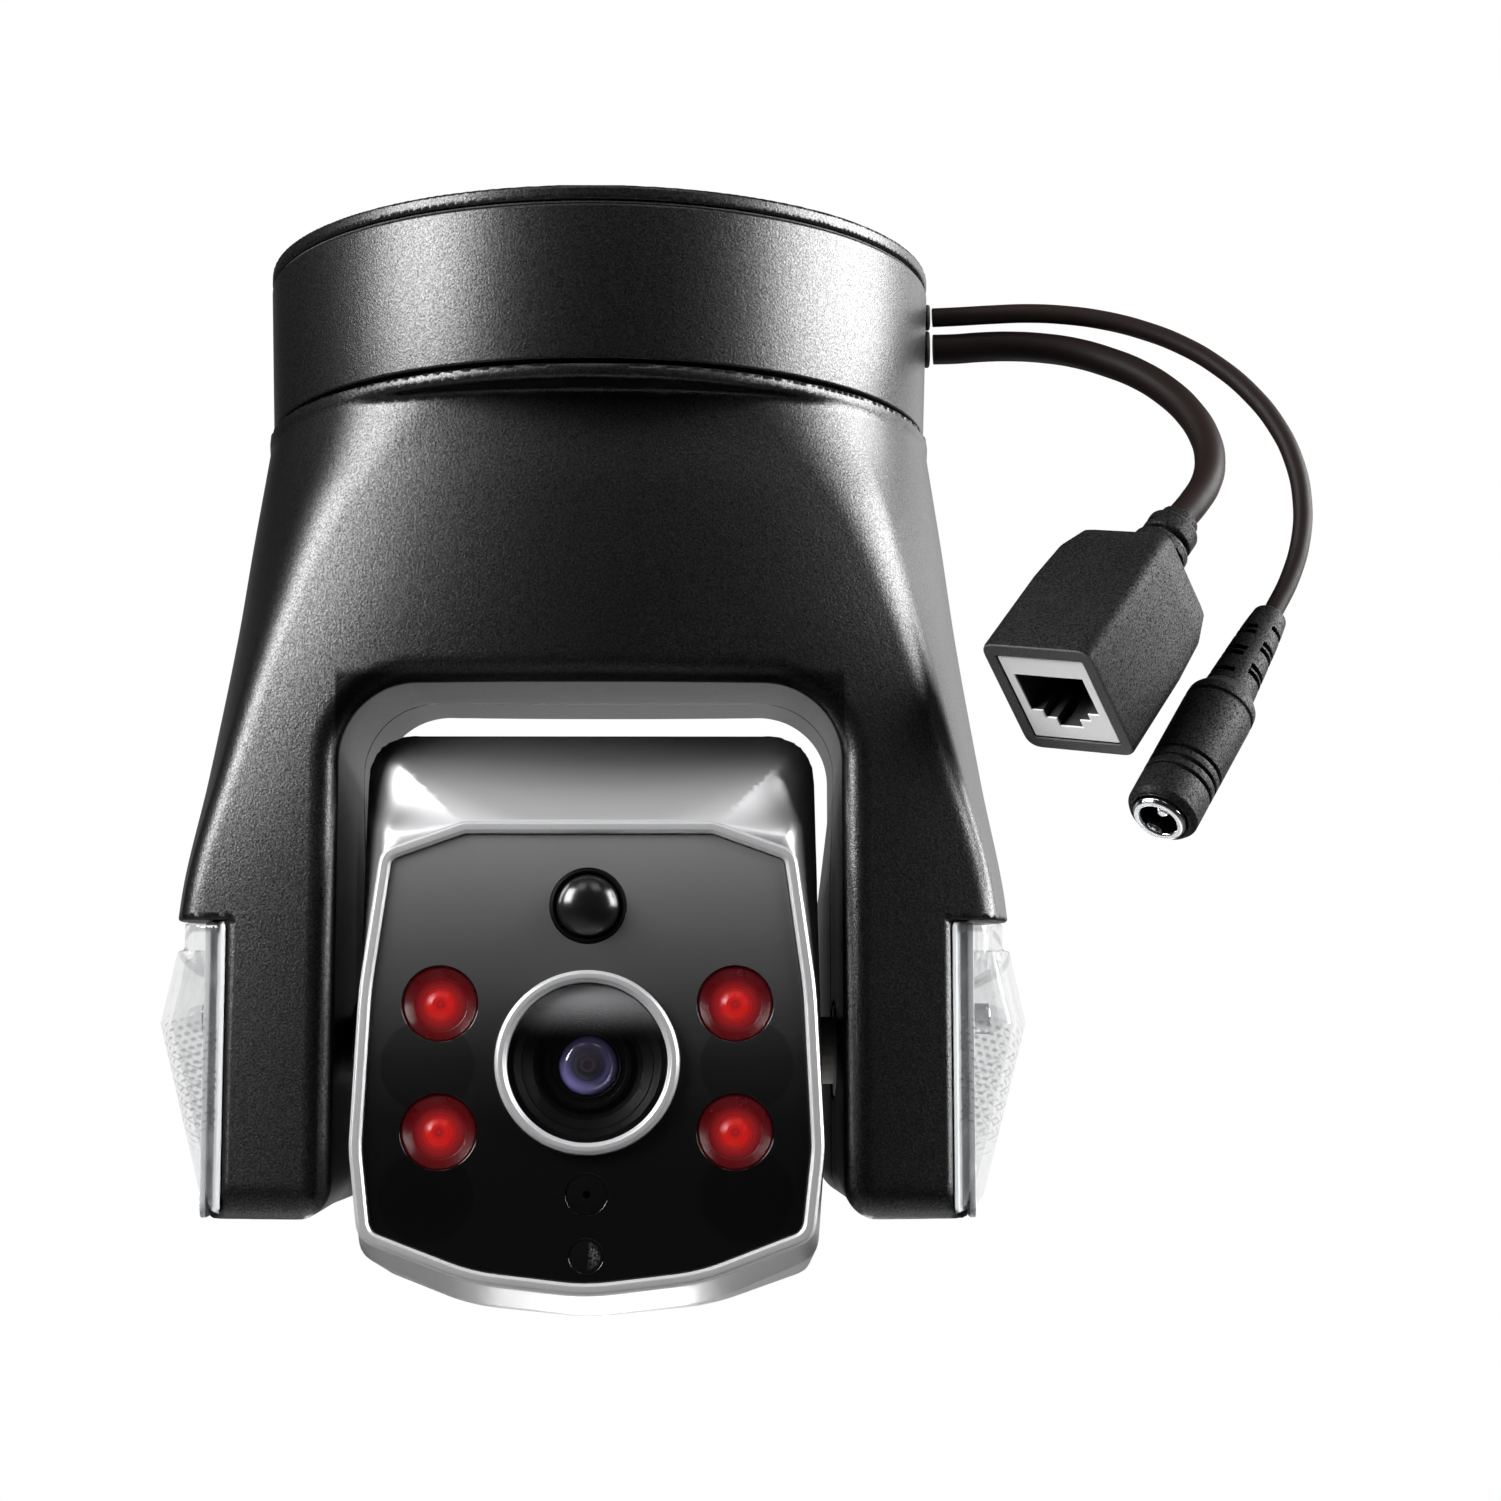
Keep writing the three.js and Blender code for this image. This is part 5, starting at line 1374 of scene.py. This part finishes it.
def studio():
    scene = bpy.context.scene
    scene.view_settings.view_transform = "Standard"
    scene.view_settings.look = "None"
    world = bpy.data.worlds.new("studio")
    world.use_nodes = True
    tree = world.node_tree
    seen = tree.nodes["Background"]
    seen.inputs["Color"].default_value = (1, 1, 1, 1)
    lit = tree.nodes.new("ShaderNodeBackground")
    direction = tree.nodes.new("ShaderNodeTexCoord")
    split = tree.nodes.new("ShaderNodeSeparateXYZ")
    backdrop = tree.nodes.new("ShaderNodeValToRGB")
    for element, (position, level) in zip(
        [backdrop.color_ramp.elements.new(0.97), *backdrop.color_ramp.elements],
        ((0.97, 0.3), (0.88, 0.015), (1.0, 0.7)),
    ):
        element.position = position
        element.color = (level, level, level, 1)
    tree.links.new(direction.outputs["Generated"], split.inputs[0])
    tree.links.new(split.outputs["Y"], backdrop.inputs["Fac"])
    tree.links.new(backdrop.outputs["Color"], lit.inputs["Color"])
    above = tree.nodes.new("ShaderNodeMapRange")
    above.inputs["From Min"].default_value = -0.3
    above.inputs["From Max"].default_value = 0.04
    above.inputs["To Min"].default_value = 0.06
    tree.links.new(split.outputs["Z"], above.inputs["Value"])
    tree.links.new(above.outputs["Result"], lit.inputs["Strength"])
    path = tree.nodes.new("ShaderNodeLightPath")
    clear = tree.nodes.new("ShaderNodeMath")
    clear.operation = "MAXIMUM"
    mix = tree.nodes.new("ShaderNodeMixShader")
    tree.links.new(path.outputs["Is Camera Ray"], clear.inputs[0])
    tree.links.new(path.outputs["Is Transmission Ray"], clear.inputs[1])
    tree.links.new(clear.outputs[0], mix.inputs[0])
    tree.links.new(lit.outputs[0], mix.inputs[1])
    tree.links.new(seen.outputs[0], mix.inputs[2])
    tree.links.new(mix.outputs[0], tree.nodes["World Output"].inputs["Surface"])
    scene.world = world

    def softbox(name, place, target, width, height, power, spread_angle=110):
        data = bpy.data.lights.new(name, "AREA")
        data.shape = "RECTANGLE"
        data.size, data.size_y = width, height
        data.energy = power
        data.spread = math.radians(spread_angle)
        lamp = bpy.data.objects.new(name, data)
        scene.collection.objects.link(lamp)
        lamp.location = place
        lamp.rotation_mode = "QUATERNION"
        lamp.rotation_quaternion = (Vector(target) - Vector(place)).to_track_quat("-Z", "Y")
        lamp.visible_camera = False

    middle = (0, 0, -0.04)
    softbox("right_softbox", (0.72, 0.0, 0.22), middle, 0.72, 0.5, 10)
    softbox("rear_right_softbox", (0.5, 0.6, 0.12), middle, 0.45, 0.5, 0.45)
    softbox("left_softbox", (-0.41, -0.24, 0.17), middle, 0.26, 0.32, 2.6)
    for side in (-1, 1):
        softbox("facet_softbox", (side * 0.26, -0.47, 0.67), (0, 0, -0.08), 0.34, 0.4, 0.15, 70)
    softbox("top_softbox", (0, -0.2, 0.9), middle, 0.7, 0.4, 0.12)
    softbox("low_softbox", (0, 0.16, -0.62), (0, 0, -0.14), 0.34, 0.3, 0.04, 70)
    softbox("rear_low_softbox", (0, 0.55, -0.49), (0, -0.03, -0.15), 0.14, 0.22, 0.15, 100)

    floor_mesh = bpy.data.meshes.new("floor")
    corners = [(-1, -1), (1, -1), (1, 1), (-1, 1)]
    floor_mesh.from_pydata([(6.0 * x, 6.0 * y, 0) for x, y in corners], [], [(0, 1, 2, 3)])
    floor = bpy.data.objects.new("floor", floor_mesh)
    floor.location = (0, 0, -0.75)
    scene.collection.objects.link(floor)
    paint = Finish("floor_paint")
    pale = paint.mix(paint.noise(3.0, 3.0), (0.86, 0.86, 0.86), (0.9, 0.9, 0.9))
    paint.colour(pale)
    paint.rough(paint.noise(8.0), 0.8, 0.9)
    paint.link(pale, paint.shader.inputs["Emission Color"])
    eye = paint.node("ShaderNodeLightPath").outputs["Is Camera Ray"]
    paint.link(paint.times(eye, 0.85), paint.shader.inputs["Emission Strength"])
    floor_mesh.materials.append(paint.material)


studio()
